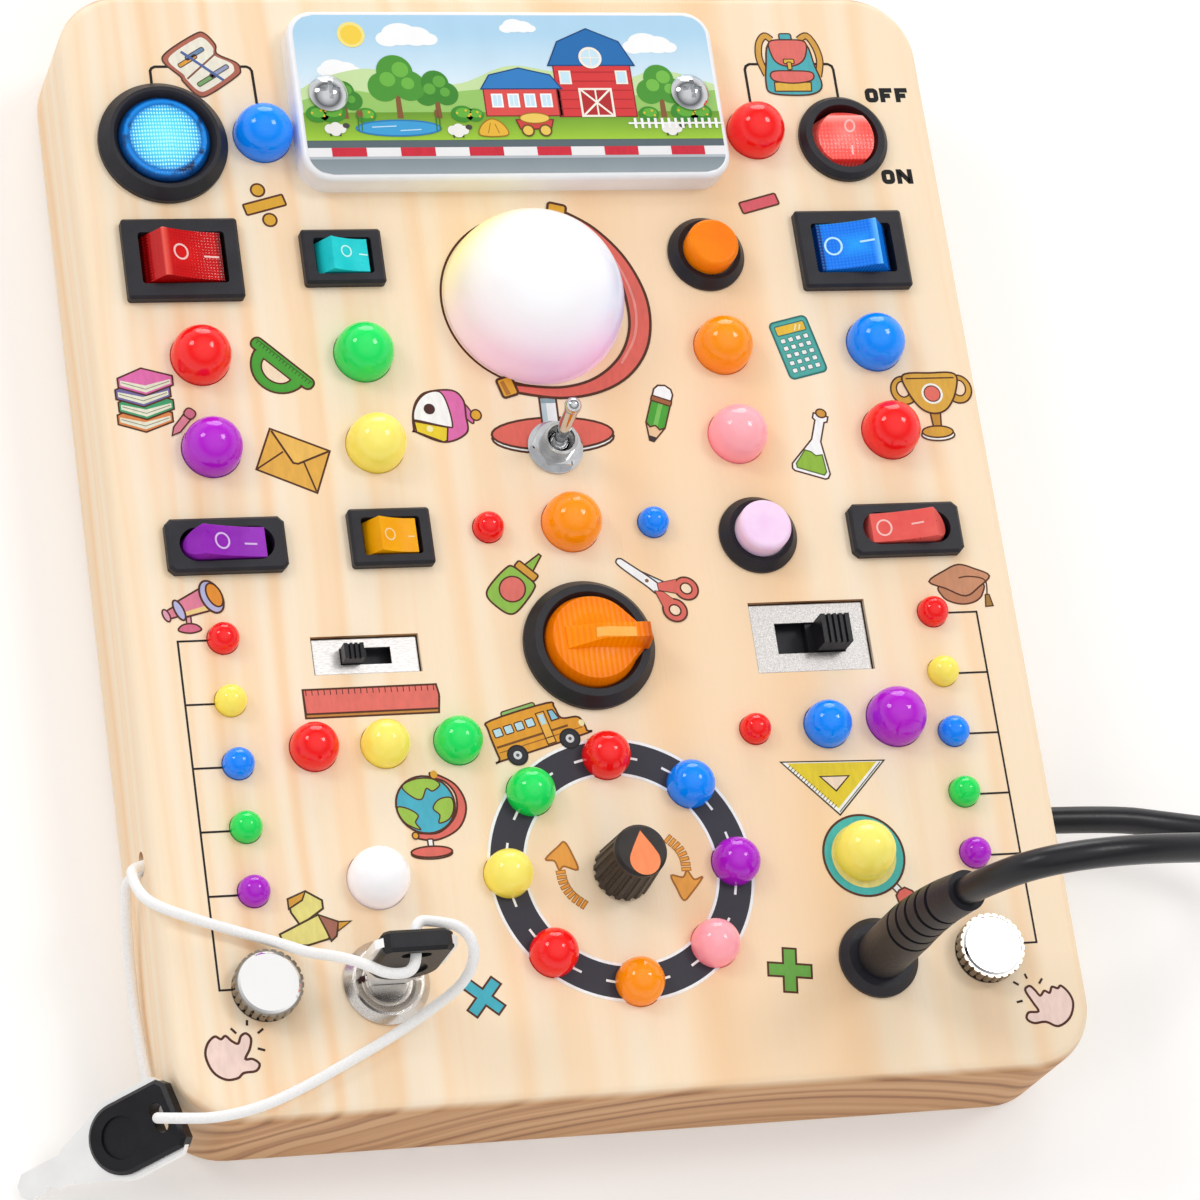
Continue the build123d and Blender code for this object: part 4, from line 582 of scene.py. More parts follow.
# trophy
p.begin(0)
for side in (-1, 1):
    p.shape(oval(70.1 + side * 5.1, 22.9, 2.5, 2.7), "#DDA63A")
    p.shape(oval(70.1 + side * 5.3, 23.1, 1.2, 1.5), "#FDE0BE", 0.28)
p.shape([(69.1, 18.9), (71.1, 18.9), (70.7, 15.4), (69.3, 15.4)], "#C98F2E", 0.3)
p.shape(oval(69.9, 14.2, 3.1, 1.1), "#FBFAF5", 0.3)
p.shape(oval(69.9, 14.8, 2.9, 1.1), "#DDA63A", 0.3)
p.shape(smooth([(65.2, 25.8), (70.2, 26.1), (75.0, 25.8), (74.6, 22.4), (72.6, 19.3), (70.1, 18.3),
    (67.6, 19.3), (65.7, 22.4)]), "#E2AC3F", 0.34)
p.line([(65.6, 25.1), (74.7, 25.1)], 0.26)
p.fill(oval(70.1, 22.1, 2.0), "#FBF7EC")
p.shape(oval(70.1, 22.1, 1.5), "#E86E60", 0.2)

# glue bottle
p.begin(0, -11.0, -11.0, -43.7)
p.shape(smooth([(-3.0, 0.9), (-3.2, -3.6), (-2.4, -5.4), (0, -5.8), (2.4, -5.4), (3.2, -3.6), (3.0, 0.9),
    (2.0, 2.1), (-2.0, 2.1)]), "#93C24B", 0.34)
p.shape(oval(0.1, -1.4, 2.2, 2.4), "#E57368", 0.28)
p.shape([(-0.9, 3.6), (-0.2, 6.9), (0.3, 6.9), (0.9, 3.6)], "#93C24B", 0.3)
p.shape(bar(0, 2.9, 4.3, 1.5, corner=0.4), "#DFA239")

# scissors
p.begin(0)
p.shape([(9.5, -8.2), (9.9, -8.9), (14.9, -11.6), (14.2, -12.6)], "#E9EEF0", 0.28, "#4C3A33")
p.shape(smooth([(7.2, -7.5), (7.9, -7.2), (9.0, -7.9), (14.3, -12.3), (13.5, -13.8), (11.9, -12.4),
    (7.6, -8.6)]), "#FDFDFD", 0.28, "#4C3A33")
p.fill(oval(12.1, -11.4, 0.35, steps=10), "#8C5A3A")
for hole, shank in (
    ((18.9, -13.1), [(13.9, -12.0), (17.3, -11.4), (17.2, -13.9), (14.0, -13.2)]),
    ((16.3, -17.0), [(13.3, -13.4), (14.6, -13.6), (17.2, -15.8), (14.4, -16.4)]),
):
    p.shape(shank, "#E46B5E", 0.28)
    p.shape(oval(*hole, 2.2, 2.0, turn=-40), "#E46B5E")
    p.fill(shank, "#E46B5E")
    p.shape(oval(*hole, 1.05, 0.95, turn=-40), "#FDE2C2", 0.28)

# telescope on its foot
p.begin(0)
p.shape([(-68.5, -14.2), (-67.7, -14.2), (-67.7, -17.1), (-68.5, -17.1)], "#E9A0B0", 0.26)
p.shape(smooth([(-70.0, -17.4), (-69.4, -16.5), (-68.1, -16.2), (-66.8, -16.5), (-66.2, -17.4),
    (-68.1, -17.9)]), "#DF6F8C", 0.3)
p.way = (-67.2, -12.9, 21)
p.shape([(-4.9, -0.7), (-2.6, -1.0), (-2.6, 1.0), (-4.9, 0.7)], "#E8879A", 0.3)
p.shape(oval(-4.9, 0, 0.55, 1.15, steps=16), "#EBA3BC", 0.28)
p.shape([(-2.3, -1.5), (3.0, -2.2), (3.0, 2.2), (-2.3, 1.5)], "#E9859E")
p.fill([(-2.1, -1.3), (2.9, -2.0), (2.9, -1.1), (-2.1, -0.6)], "#F6D58A")
p.shape(oval(-2.5, 0, 0.75, 1.9, steps=18), "#BDBCE3")
p.shape(oval(3.6, 0, 1.75, 3.0), "#BDBCE3", 0.36)
p.shape(oval(4.2, 0.1, 1.2, 2.2), "#F0962F", 0.3)

# mortarboard
p.begin(0)
p.shape(smooth([(65.3, -14.2), (65.4, -16.3), (67.0, -17.4), (69.2, -17.8), (71.4, -17.3), (72.8, -16.0),
    (72.8, -13.9)]), "#C4835F", 0.3)
p.shape(smooth([(63.3, -13.4), (66.4, -11.5), (69.3, -10.4), (72.2, -11.3), (74.7, -12.7), (72.4, -14.7),
    (69.6, -16.3), (66.2, -14.8)], steps=4), "#D0916C", 0.3)
p.line(smooth([(68.9, -12.9), (71.0, -12.7), (73.7, -13.5), (73.6, -16.4)], closed=False), 0.26)
p.shape([(73.3, -16.2), (74.0, -16.2), (74.4, -18.3), (73.0, -18.4)], "#A87B35", 0.24)

# ruler
p.begin(0)
p.shape([(-50.4, -28.7), (-27.5, -28.6), (-27.2, -30.8), (-27.6, -33.6), (-50.4, -33.7)], "#C98A3E", 0.34)
p.shape([(-50.4, -28.7), (-27.5, -28.6), (-27.2, -30.4), (-27.5, -32.9), (-50.3, -33.0)], "#EA7367", 0.34)

# school bus, climbing the ring road
p.begin(4, -11.4, -37.2, 15)
p.shape(bar(-1.6, 3.9, 6.2, 1.1, corner=0.4), "#8FBF6A", 0.24)
p.shape(smooth([(-8.0, -3.1), (-7.9, 2.2), (-6.9, 3.6), (3.6, 3.6), (4.6, 2.6), (5.0, 0.4), (7.6, -0.2),
    (8.3, -1.2), (8.4, -3.0), (7.9, -3.5), (-7.6, -3.6)], steps=4), "#E9A02A", 0.34)
p.fill([(-7.7, -1.0), (5.6, -1.0), (5.6, -1.4), (-7.7, -1.4)], "#7A4A17")
p.line([(-7.6, -2.2), (7.9, -2.2)], 0.18, "#A1651C")
for x in (-6.5, -4.5, -2.5, -0.5):
    p.level = 9
    p.shape(bar(x, 1.2, 1.5, 1.5, corner=0.2), "#BFE2EC", 0.2)
p.level = 9
p.shape([(1.0, 2.4), (2.5, 2.4), (2.5, -3.3), (1.0, -3.3)], "#F2B64A", 0.2)
p.fill([(1.3, 2.0), (2.2, 2.0), (2.2, 0.2), (1.3, 0.2)], "#BFE2EC")
p.shape([(3.2, 2.3), (4.1, 2.2), (4.6, 0.4), (3.2, 0.4)], "#8FCBE0", 0.24)
p.fill(oval(8.0, -1.5, 0.5, 0.6, steps=12), "#FFF3B8")
for x in (-4.8, 5.0):
    p.level = 14
    p.shape(oval(x, -3.5, 1.7), "#2B2A2E", 0.3, "#17161A")
    p.fill(oval(x, -3.5, 0.75, steps=16), "#D9DBDD")
    p.fill(oval(x, -3.5, 0.3, steps=10), "#55565A")

# small globe on its stand
p.begin(0)
p.shape(smooth([(-30.3, -44.2), (-26.6, -46.4), (-25.2, -50.2), (-26.9, -54.0), (-31.0, -55.9),
    (-34.6, -55.3), (-34.2, -54.6), (-30.4, -54.6), (-27.3, -51.9), (-26.7, -48.4), (-28.2, -45.9),
    (-30.4, -45.0)]), "#E86F62", 0.34)
p.shape(bar(-32.1, -56.7, 0.9, 2.0, corner=0.1), "#FFFFFF", 0.26)
p.shape(oval(-32.1, -58.2, 3.5, 0.95), "#FFFFFF", 0.28)
p.shape(oval(-32.1, -57.9, 3.5, 0.95), "#E86F62", 0.3)
p.shape(oval(-32.1, -49.7, 5.0), "#4CB5CC", 0.36)
for land in (
    [(-35.7, -46.4), (-33.5, -45.2), (-30.6, -45.2), (-29.2, -46.3),
     (-30.6, -47.4), (-31.6, -46.9), (-32.6, -48.7), (-34.1, -48.3)],
    [(-27.6, -48.7), (-29.7, -48.9), (-30.9, -50.4), (-29.9, -51.6),
     (-30.2, -53.0), (-28.4, -52.4), (-27.4, -50.6)],
    [(-36.9, -49.9), (-35.1, -50.3), (-33.6, -51.5), (-34.2, -52.7),
     (-33.5, -54.0), (-35.6, -53.0), (-36.7, -51.5)],
):
    p.level = 10
    p.shape(smooth(land, steps=4), "#A3C94D", 0.24)
p.fill(oval(-30.0, -44.5, 0.6, 0.7, steps=12), MUSTARD)
p.shape(oval(-34.5, -55.0, 0.55, 0.6, steps=12), MUSTARD, 0.24)

# set square
p.begin(0)
p.shape([(30.8, -45.2), (49.4, -45.7), (39.9, -55.1)], "#FBFBF4", 0.3, "#4A3A22")
p.fill([(31.9, -45.5), (48.0, -45.9), (39.8, -53.9)], "#ECD12B")
p.line([(48.6, -46.0), (39.9, -54.6)], 0.16, "#4A3A22")
p.shape([(37.4, -48.1), (42.6, -48.2), (39.9, -50.8)], "#FDE3C6", 0.28, "#4A3A22")

# magnifier round its yellow lamp
p.begin(0, 46.9, -67.4, 38)
p.shape([(-0.6, 0), (0.6, 0), (0.6, -3.4), (-0.6, -3.4)], "#F7F7F5", 0.28)
p.shape([(-1.1, -2.3), (0, -2.0), (1.1, -2.3), (1.7, -3.6), (1.7, -9.0), (0, -9.6), (-1.7, -9.0),
    (-1.7, -3.6)], "#E5685B")
p.way = (0, 0)
p.shape(oval(42.9, -62.5, 7.2, steps=48), "#49BCB8", 0.4)
p.fill(oval(42.9, -62.5, 5.75, steps=40), "#F1E48E")

# highlighter with its cap off
PEN_EDGE = "#4B3416"
p.begin(0)
p.shape([(-57.3, -64.7), (-54.2, -63.5), (-51.6, -65.2), (-51.6, -66.6), (-55.7, -69.3), (-57.0, -67.0)],
    "#EDE084", 0.36, PEN_EDGE)
p.shape([(-57.3, -64.7), (-54.2, -63.5), (-54.9, -65.0), (-57.3, -66.4)], "#DFA13A", 0.3, PEN_EDGE)
p.shape([(-59.3, -70.6), (-52.6, -67.6), (-50.9, -69.6), (-51.2, -71.8), (-54.8, -72.7), (-58.8, -72.6)],
    "#EDE084", 0.36, PEN_EDGE)
p.shape([(-52.6, -67.6), (-49.3, -69.0), (-49.9, -71.4), (-50.9, -72.2), (-51.5, -70.4)],
    "#A96A58", 0.32, PEN_EDGE)
p.shape([(-49.4, -69.0), (-47.2, -69.0), (-49.6, -70.6)], "#DFA13A", 0.28, PEN_EDGE)

# pressing hands by the tap buttons
hands = (
    ([(-73.8, -90.2), (-73.3, -88.2), (-72.0, -87.0), (-71.0, -87.5), (-70.2, -87.0), (-69.3, -87.9),
      (-68.3, -88.4), (-67.7, -87.2), (-66.8, -86.8), (-66.1, -87.7), (-66.5, -89.4), (-67.4, -91.0),
      (-66.2, -91.1), (-65.2, -92.0), (-65.9, -93.1), (-67.9, -93.3), (-69.0, -94.1), (-71.0, -94.2),
      (-72.9, -92.8)],
     [((-66.4, -84.6), (-66.5, -85.5)), ((-69.2, -85.8), (-68.4, -86.7)), ((-64.9, -86.9), (-63.9, -86.2)),
      ((-65.2, -89.4), (-64.0, -89.8))]),
    ([(67.6, -87.8), (68.5, -87.1), (69.3, -87.8), (70.1, -88.9), (71.0, -88.1), (71.9, -88.5),
      (72.5, -87.5), (73.5, -87.8), (74.2, -87.4), (75.4, -88.8), (75.8, -90.7), (74.7, -93.1),
      (72.4, -94.4), (70.3, -93.5), (68.2, -93.6), (67.0, -92.8), (67.5, -91.7), (69.3, -91.6),
      (68.6, -90.0)],
     [((68.0, -84.9), (68.3, -85.8)), ((65.7, -86.2), (66.6, -86.8)), ((71.0, -85.9), (70.3, -86.8)),
      ((65.7, -89.8), (66.8, -89.6))]),
)
for palm, rays in hands:
    p.begin(0)
    p.shape(smooth(palm, steps=4), "#FBDCD0", 0.42, "#54281B")
    for ray in rays:
        p.line(ray, 0.4, "#3A2016")

# pencil case, open, with three pencils in it
p.begin(4)
case = [(-60.9, 88.0), (-60.0, 90.0), (-54.8, 93.4), (-53.0, 93.6), (-51.3, 91.4), (-51.2, 89.6),
    (-48.0, 87.9), (-47.4, 86.5), (-48.2, 85.2), (-53.2, 81.8), (-55.4, 81.4), (-57.8, 84.2), (-58.2, 85.2)]
p.shape(smooth(case, steps=4), "#B96A56", 0.3, "#5A3428")
inner = [(x * 0.84, y * 0.84) for x, y in placed(case, 54.3, -87.5)]
p.fill(smooth(placed(inner, -54.3, 87.5), steps=4), "#F6EFDD")
p.line([(-57.0, 84.7), (-51.4, 89.7)], 0.36, "#8B5A48")
for x, y, tone in (
    (-56.6, 88.2, "#E9A23B"), (-55.2, 89.6, "#6E8FB5"), (-53.6, 84.5, "#7BAE6A"), (-51.2, 86.2, "#9AA2C4"),
):
    p.level = 9
    p.shape(bar(x, y, 3.9, 0.8, 32, 0.3), tone, 0.18, "#5A4A44")
p.level = 12
p.line([(-57.6, 90.0), (-54.7, 87.7), (-50.6, 84.4)], 0.5, "#566BA5")

# satchel over the wiring line
p.begin(4)
for strap in (
    [(51.4, 92.4), (50.2, 93.2), (48.9, 91.6), (48.5, 88.6), (49.4, 85.2)],
    [(56.6, 92.4), (58.2, 93.2), (59.5, 91.2), (60.0, 88.2), (59.2, 85.0)],
):
    p.line(smooth(strap, closed=False), 1.45, BROWN)
    p.line(smooth(strap, closed=False), 0.95, "#DDA648")
p.shape(bar(54.1, 92.9, 2.3, 1.5, corner=0.4), "#4FB3BC", 0.26)
p.shape(smooth([(50.7, 91.6), (49.6, 87.4), (49.0, 83.6), (49.6, 81.7), (53.7, 81.2), (57.8, 81.5),
    (59.6, 83.2), (58.8, 87.2), (57.8, 91.6), (54.2, 92.3)], steps=4), "#4FB3BC")
p.shape(smooth([(50.9, 92.0), (54.2, 92.4), (57.7, 92.0), (57.5, 89.4), (56.2, 87.7), (53.9, 87.0),
    (51.8, 87.7), (50.9, 89.4)], steps=4), "#E9736A", 0.28)
p.shape([(50.6, 83.8), (57.6, 83.8), (57.4, 82.0), (50.5, 82.0)], "#EABB48", 0.24)
p.shape(smooth([(50.5, 85.9), (54.2, 86.1), (58.0, 85.8), (57.8, 84.2), (54.1, 83.6), (50.5, 84.2)], steps=4),
    "#E9736A", 0.26)
p.shape(bar(54.0, 88.0, 2.0, 0.9, corner=0.2), "#EABB48", 0.2)
p.shape(bar(54.0, 87.1, 0.8, 1.5, corner=0.2), "#EABB48", 0.2)

# turning arrows beside the dial: heads only, their tails are rows of marks
for head in (
    [(-9.2, -57.4), (-10.4, -58.1), (-12.9, -60.2), (-11.4, -60.6),
     (-10.8, -62.2), (-9.9, -61.6), (-7.6, -62.3), (-8.2, -59.6)],
    [(9.9, -68.6), (11.3, -67.6), (13.8, -64.8), (12.3, -65.1),
     (11.3, -63.5), (10.4, -64.6), (8.4, -64.2), (9.0, -66.4)],
):
    p.begin(0)
    p.shape(smooth(head, steps=4), "#F3A544", 0.32, "#B06A1C")

# the power switch's words, in heavy rounded strokes
LETTERS = {
    "O": bar(1.3, 1.35, 1.6, 1.95, corner=0.5), "F": [(0.5, -0.05), (0.5, 2.35), (2.45, 2.35)],
    "-": [(0.5, 1.25), (2.0, 1.25)],
    "N": [(0.5, -0.05), (0.5, 2.4), (0.75, 2.4), (2.35, 0.4), (2.6, 0.4), (2.6, 2.85)],
}
for x, y, strokes in (
    (67.5, 79.8, "O"), (70.35, 79.8, "F-"), (73.3, 79.8, "F-"), (67.9, 63.4, "O"), (70.8, 63.4, "N"),
):
    p.begin(0, x, y)
    for stroke in strokes:
        p.line(LETTERS[stroke], 0.92, "#0A0708", closed=stroke == "O")
ink_piece("face_drawings", p.sheet, ink, "board")

# Rows of even marks: road dashes, scale divisions and the tails of the arrows.
marks_tree = bpy.data.node_groups.new("marks_along_a_line", "GeometryNodeTree")
for label, kind in (
    ("Line", "NodeSocketGeometry"), ("Pitch", "NodeSocketFloat"), ("Mark Length", "NodeSocketFloat"),
    ("Mark Width", "NodeSocketFloat"), ("Ink", "NodeSocketMaterial"),
):
    marks_tree.interface.new_socket(label, in_out="INPUT", socket_type=kind)
marks_tree.interface.new_socket("Marks", in_out="OUTPUT", socket_type="NodeSocketGeometry")
given = node(marks_tree, "NodeGroupInput").outputs
beads = node(marks_tree, "GeometryNodeCurveToPoints", {"Curve": given["Line"], "Length": given["Pitch"]},
    mode="LENGTH")
along = node(marks_tree, "FunctionNodeAlignRotationToVector", {"Vector": beads.outputs["Tangent"]}, axis="X",
    pivot_axis="Z")
mark = node(marks_tree, "GeometryNodeMeshGrid", {"Size X": given["Mark Length"],
    "Size Y": given["Mark Width"], "Vertices X": 2, "Vertices Y": 2})
laid = node(marks_tree, "GeometryNodeInstanceOnPoints", {"Points": beads.outputs["Points"],
    "Instance": mark.outputs["Mesh"], "Rotation": along})
solid = node(marks_tree, "GeometryNodeRealizeInstances", {"Geometry": laid})
inked = node(marks_tree, "GeometryNodeSetMaterial", {"Geometry": solid, "Material": given["Ink"]})
node(marks_tree, "NodeGroupOutput", {"Marks": inked})


def plain_ink(name, colour, deeper):
    """One colour of the same cured ink, for rows of marks."""
    material, tree, mm = start_finish(name)
    film = grain(tree, mm, 0.8, (1, 3, 1), 3)
    feeds = {"Base Color": shades(tree, film, (0.3, deeper), (0.7, colour))}
    feeds["Roughness"] = span(tree, film, *INK_GLOSS)
    end_finish(tree, feeds | {"Specular IOR Level": 0.3}, film, 0.01)
    return material


def row_of_marks(name, points, pitch, length, width, material, height):
    """Marks at an even pitch along a line, at a height in millimetres above the board's back."""
    curve = bpy.data.curves.new(name, "CURVE")
    curve.dimensions = "3D"
    line = curve.splines.new("POLY")
    line.points.add(len(points) - 1)
    for knot, (x, y) in zip(line.points, points):
        knot.co = (x * MM, y * MM, height * MM, 1)
    guide = shown(name + "_line", curve)
    modifier = guide.modifiers.new("marks", "NODES")
    modifier.node_group = marks_tree
    inputs = (item for item in marks_tree.interface.items_tree if item.in_out == "INPUT")
    sockets = {item.name: item.identifier for item in inputs}
    for label, value in (("Pitch", pitch), ("Mark Length", length), ("Mark Width", width)):
        modifier[sockets[label]] = value * MM
    modifier[sockets["Ink"]] = material
    bpy.context.view_layer.update()
    mesh = bpy.data.meshes.new_from_object(guide.evaluated_get(bpy.context.evaluated_depsgraph_get()))
    bpy.data.objects.remove(guide)
    mesh.name = name
    piece = shown(name, mesh)
    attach(piece, "board")


white_ink = plain_ink("white_marking_ink", "#FFFFFF", "#F1F0EF")
dark_ink = plain_ink("dark_scale_ink", "#4A2A1C", "#33190F")
orange_ink = plain_ink("orange_arrow_ink", "#F3A544", "#EA9733")
rust_ink = plain_ink("rust_outline_ink", "#B8741F", "#A8661A")
for stretch in range(8):
    start = 45 * stretch + 7.5
    dashes = oval(*LAMP_RING, RING_LAMPS, start=start, end=start + 30, steps=12)
    row_of_marks(f"road_dashes_{stretch + 1}", dashes[2:11], 6.9, 2.6, 0.42, white_ink, FACE + 0.05)
row_of_marks("ruler_scale", [(-49.9, -29.3), (-28.0, -29.2)], 1.0, 0.14, 0.9, dark_ink, FACE + 0.05)
straight_edge = placed([(-5.6, -0.9), (5.6, -0.9)], -45.9, 31.3, -43.7)
row_of_marks("protractor_scale", straight_edge, 0.7, 0.12, 0.6, dark_ink, FACE + 0.06)
row_of_marks("set_square_scale", [(32.2, -46.1), (39.3, -53.5)], 0.6, 0.12, 0.75, dark_ink, FACE + 0.05)
for name, bend in (
    ("left", [(-10.6, -62.6), (-10.3, -64.8), (-9.2, -66.8), (-7.4, -68.4)]),
    ("right", [(11.2, -63.2), (11.1, -61.3), (10.3, -59.4), (8.8, -57.8)]),
):
    tail = smooth(bend, closed=False)
    row_of_marks(f"{name}_arrow_tail_edge", tail, 0.86, 0.72, 1.75, rust_ink, FACE + 0.02)
    row_of_marks(f"{name}_arrow_tail", tail, 0.86, 0.42, 1.45, orange_ink, FACE + 0.03)

# ---------------------------------------------------------------- back cover, door and fasteners
# A panel of thin sanded ply, screwed into a rebate in the back, with a moulded battery door and tray.
# The door snaps into the panel, and the tray under it holds two cells between tinned springs and plates.
ply, tree, mm = start_finish("sanded_thin_ply")
# Rotary-cut veneer has a broad soft figure along the board, and fine dark pores a few millimetres long.
figure = grain(tree, mm, 7, (1, 7, 1), 3)
pores = grain(tree, mm, 0.35, (1, 14, 1), 2)
broad = shades(tree, figure, (0.3, "#D6B483"), (0.7, "#E9D0A6"))
porous = span(tree, pores, 0.0, 0.3)
veneer = node(tree, "ShaderNodeMixRGB", {"Fac": porous, "Color1": broad, "Color2": linear("#B08A5A")})
end_finish(tree, {"Base Color": veneer, "Roughness": span(tree, pores, 0.55, 0.68)}, pores, 0.05)
dress("back_cover", ply)


def moulded(name, dark, light, gloss=(0.32, 0.46), texture=0.6, depth=0.02, **more):
    """Injection-moulded plastic: nearly even colour, with a fine spark-eroded texture in millimetres."""
    material, tree, mm = start_finish(name)
    bite = grain(tree, mm, texture, detail=2)
    feeds = {"Base Color": shades(tree, grain(tree, mm, 4), (0.3, dark), (0.7, light)),
        "Roughness": span(tree, bite, *gloss)}
    feeds.update({key.replace("_", " "): value for key, value in more.items()})
    end_finish(tree, feeds, bite, depth)
    return material


door_plastic = moulded("black_abs_door", "#1E1D20", "#28272B", (0.4, 0.5), Specular_IOR_Level=0.3)
dress("battery_door battery_tray", door_plastic)


def metal(name, dark, light, gloss=(0.12, 0.2), brush=None, depth=0.004, size=2.0):
    """Bare or plated metal. A brushed one gets fine scratches along its brush direction."""
    material, tree, mm = start_finish(name)
    worn = grain(tree, mm, size if brush is None else 0.12, brush or (1, 1, 1), 3)
    feeds = {"Base Color": shades(tree, worn, (0.3, dark), (0.7, light)), "Metallic": 1.0,
        "Roughness": span(tree, worn, *gloss)}
    end_finish(tree, feeds, worn, depth)
    return material


dress("cover_screws", metal("zinc_plated_screws", "#B9BCBE", "#D4D6D6", (0.25, 0.38)))
dress("battery_contacts led_leads", metal("tinned_spring_steel", "#B4B4B0", "#D8D7D2", (0.2, 0.35)))
dress("batteries", moulded("cell_jacket_film", "#27583C", "#2F6A48", (0.25, 0.35)))

# ---------------------------------------------------------------- circuit board and terminals
# Two boards of glass-fibre laminate under green solder resist, standing on posts behind the face.
# The switches' blades are rolled brass, pressed into their plastic bases.
dress("circuit_board dome_led_board", moulded("green_solder_resist", "#1D6B44", "#23784D", (0.25, 0.35), 1.2))
dress("switch_terminals", metal("rolled_brass", "#B99A4E", "#D6B969", (0.25, 0.4)))

# ---------------------------------------------------------------- picture plate
# A white moulded plate with rounded corners, held to the wood by two polished pan-head screws.
# A country scene is printed on its face: sky, barn, trees and a pond above a road with a striped kerb.
dress("picture_plate", moulded("white_abs_plate", "#F4F4F7", "#F8F8FA", (0.2, 0.28), 6.0, 0.002))
dress("plate_screws", metal("chromed_screws", "#C9CBCE", "#D6D8DA", (0.05, 0.1)))
PLATE_AT, PLATE_HALF, PLATE_ROUND, PLATE_TOP = (-0.7, 79.1), (37.9, 15.5), 4.0, 30.0
p = Print(PLATE_TOP)
p.begin(0, *PLATE_AT)


def between(amount, first, second):
    """A hex colour part of the way from one to another."""
    amount = min(max(amount, 0.0), 1.0)
    channels = ((int(first[i:i + 2], 16), int(second[i:i + 2], 16)) for i in (1, 3, 5))
    return "#" + "".join(f"{round(a * (1 - amount) + b * amount):02X}" for a, b in channels)


def across_plate(v):
    """Half the printed width at a height on the plate, inside its rounded corners."""
    over = max(0.0, abs(v) - (PLATE_HALF[1] - PLATE_ROUND))
    return PLATE_HALF[0] - PLATE_ROUND + math.sqrt(max(0.0, PLATE_ROUND ** 2 - over ** 2))


def band(low, high, colour, rows=1):
    """A strip of ink right across the plate."""
    bends = [PLATE_HALF[1] - PLATE_ROUND * (1 - i / 8) for i in range(9)]
    bends = {side * v for v in bends for side in (-1, 1) if low < side * v < high}
    heights = sorted({low + (high - low) * i / rows for i in range(rows + 1)} | bends)
    corners = [(PLATE_AT[0] + side * across_plate(v), PLATE_AT[1] + v) for v in heights for side in (-1, 1)]
    p.film(corners, [(2 * i, 2 * i + 1, 2 * i + 3, 2 * i + 2) for i in range(len(heights) - 1)], colour)


band(-4.2, 15.5, lambda x, y: between((y - PLATE_AT[1] + 2) / 14, "#F2FAFE", "#B4DBF4"), 12)
for x, y, size in ((-17.5, 10.8, 1.0), (27.0, 9.2, 0.9), (3.0, 12.9, 0.6), (-30.5, 4.6, 0.7)):
    p.level = 2
    for dx, dy, r in ((-3.4, 0, 1.5), (-1.2, 0.9, 2.2), (1.6, 0.5, 1.9), (3.8, -0.1, 1.2)):
        p.fill(oval(x + dx * size, y + dy * size, r * 1.5 * size, r * size), "#FFFFFF")
p.level = 8
p.fill(oval(-27.5, 11.6, 2.5), "#FCE98A")
p.fill(oval(-27.5, 11.6, 1.9), "#FBD64A")
p.level = 9
for ridge, foot, green in (
    ([(-37.8, 1.0), (-33.0, 3.4), (-25.0, 4.9), (-17.0, 2.4), (-9.0, 2.0),
      (0.0, 5.4), (8.0, 4.4), (20.0, 2.6), (28.0, 4.6), (37.8, 1.8)], -4.0, "#CDE6A8"),
    ([(-37.8, -1.2), (-30.0, 0.8), (-20.0, -0.6), (-8.0, 0.6),
      (6.0, 1.6), (22.0, -0.4), (37.8, 0.6)], -4.2, "#9CCB6A"),
):
    p.fill(smooth(ridge, closed=False) + [(37.8, foot), (-37.8, foot)], green)
band(-9.0, -3.6, lambda x, y: between((y - PLATE_AT[1] + 9.0) / 5.4, "#A4D03A", "#6E9E2E"), 6)


def block(left, low, right, high):
    """The corners of an upright oblong."""
    return [(left, low), (right, low), (right, high), (left, high)]


def house(left, low, right, high, wall, roof, peak, eaves=0.9):
    """A wall under a broken gable roof."""
    p.level = 13
    p.shape(block(left, low, right, high), wall, 0.22, "#8E2024")
    break_at = high + peak * 0.62
    slope = [(right - 1.4, break_at), ((left + right) / 2, high + peak), (left + 1.4, break_at)]
    p.shape([(left - eaves, high - 0.5), (right + eaves, high - 0.5)] + slope, roof, 0.25, "#12447A")


# barn with a long low wing
PANE, CREAM = "#CDEBFA", "#FBF3E6"
house(-5.0, -4.4, 9.0, 1.4, "#E2504C", "#2F80C6", 3.6, 0.4)
for x in (-3.6, -0.6, 2.4, 5.4):
    p.level = 18
    p.shape(block(x, -2.6, x + 1.8, -0.2), PANE, 0.3, "#FFFFFF")
    p.line([(x + 0.9, -2.6), (x + 0.9, -0.2)], 0.14, "#FFFFFF")
house(8.4, -4.6, 22.6, 6.0, "#DE3A3C", "#1F6FB5", 6.8)
p.level = 18
for v in (-3.0, -1.2, 0.6, 2.4, 4.2):
    p.line([(8.7, v), (22.3, v)], 0.13, "#B92A2E")
p.level = 24
p.shape(block(12.6, -4.5, 18.4, 0.8), "#B9282C", 0.4, CREAM)
p.line([(12.9, -4.3), (18.1, 0.6)], 0.36, CREAM)
p.line([(12.9, 0.6), (18.1, -4.3)], 0.36, CREAM)
p.line([(15.5, -4.4), (15.5, 0.7)], 0.3, CREAM)
p.level = 24
p.shape(oval(15.5, 7.0, 1.9), PANE, 0.45, CREAM)
p.line([(13.7, 7.0), (17.3, 7.0)], 0.22, CREAM)
p.line([(15.5, 5.2), (15.5, 8.8)], 0.22, CREAM)
for x in (9.4, 19.8):
    p.level = 24
    p.shape(block(x, 1.9, x + 1.9, 4.3), PANE, 0.3, CREAM)

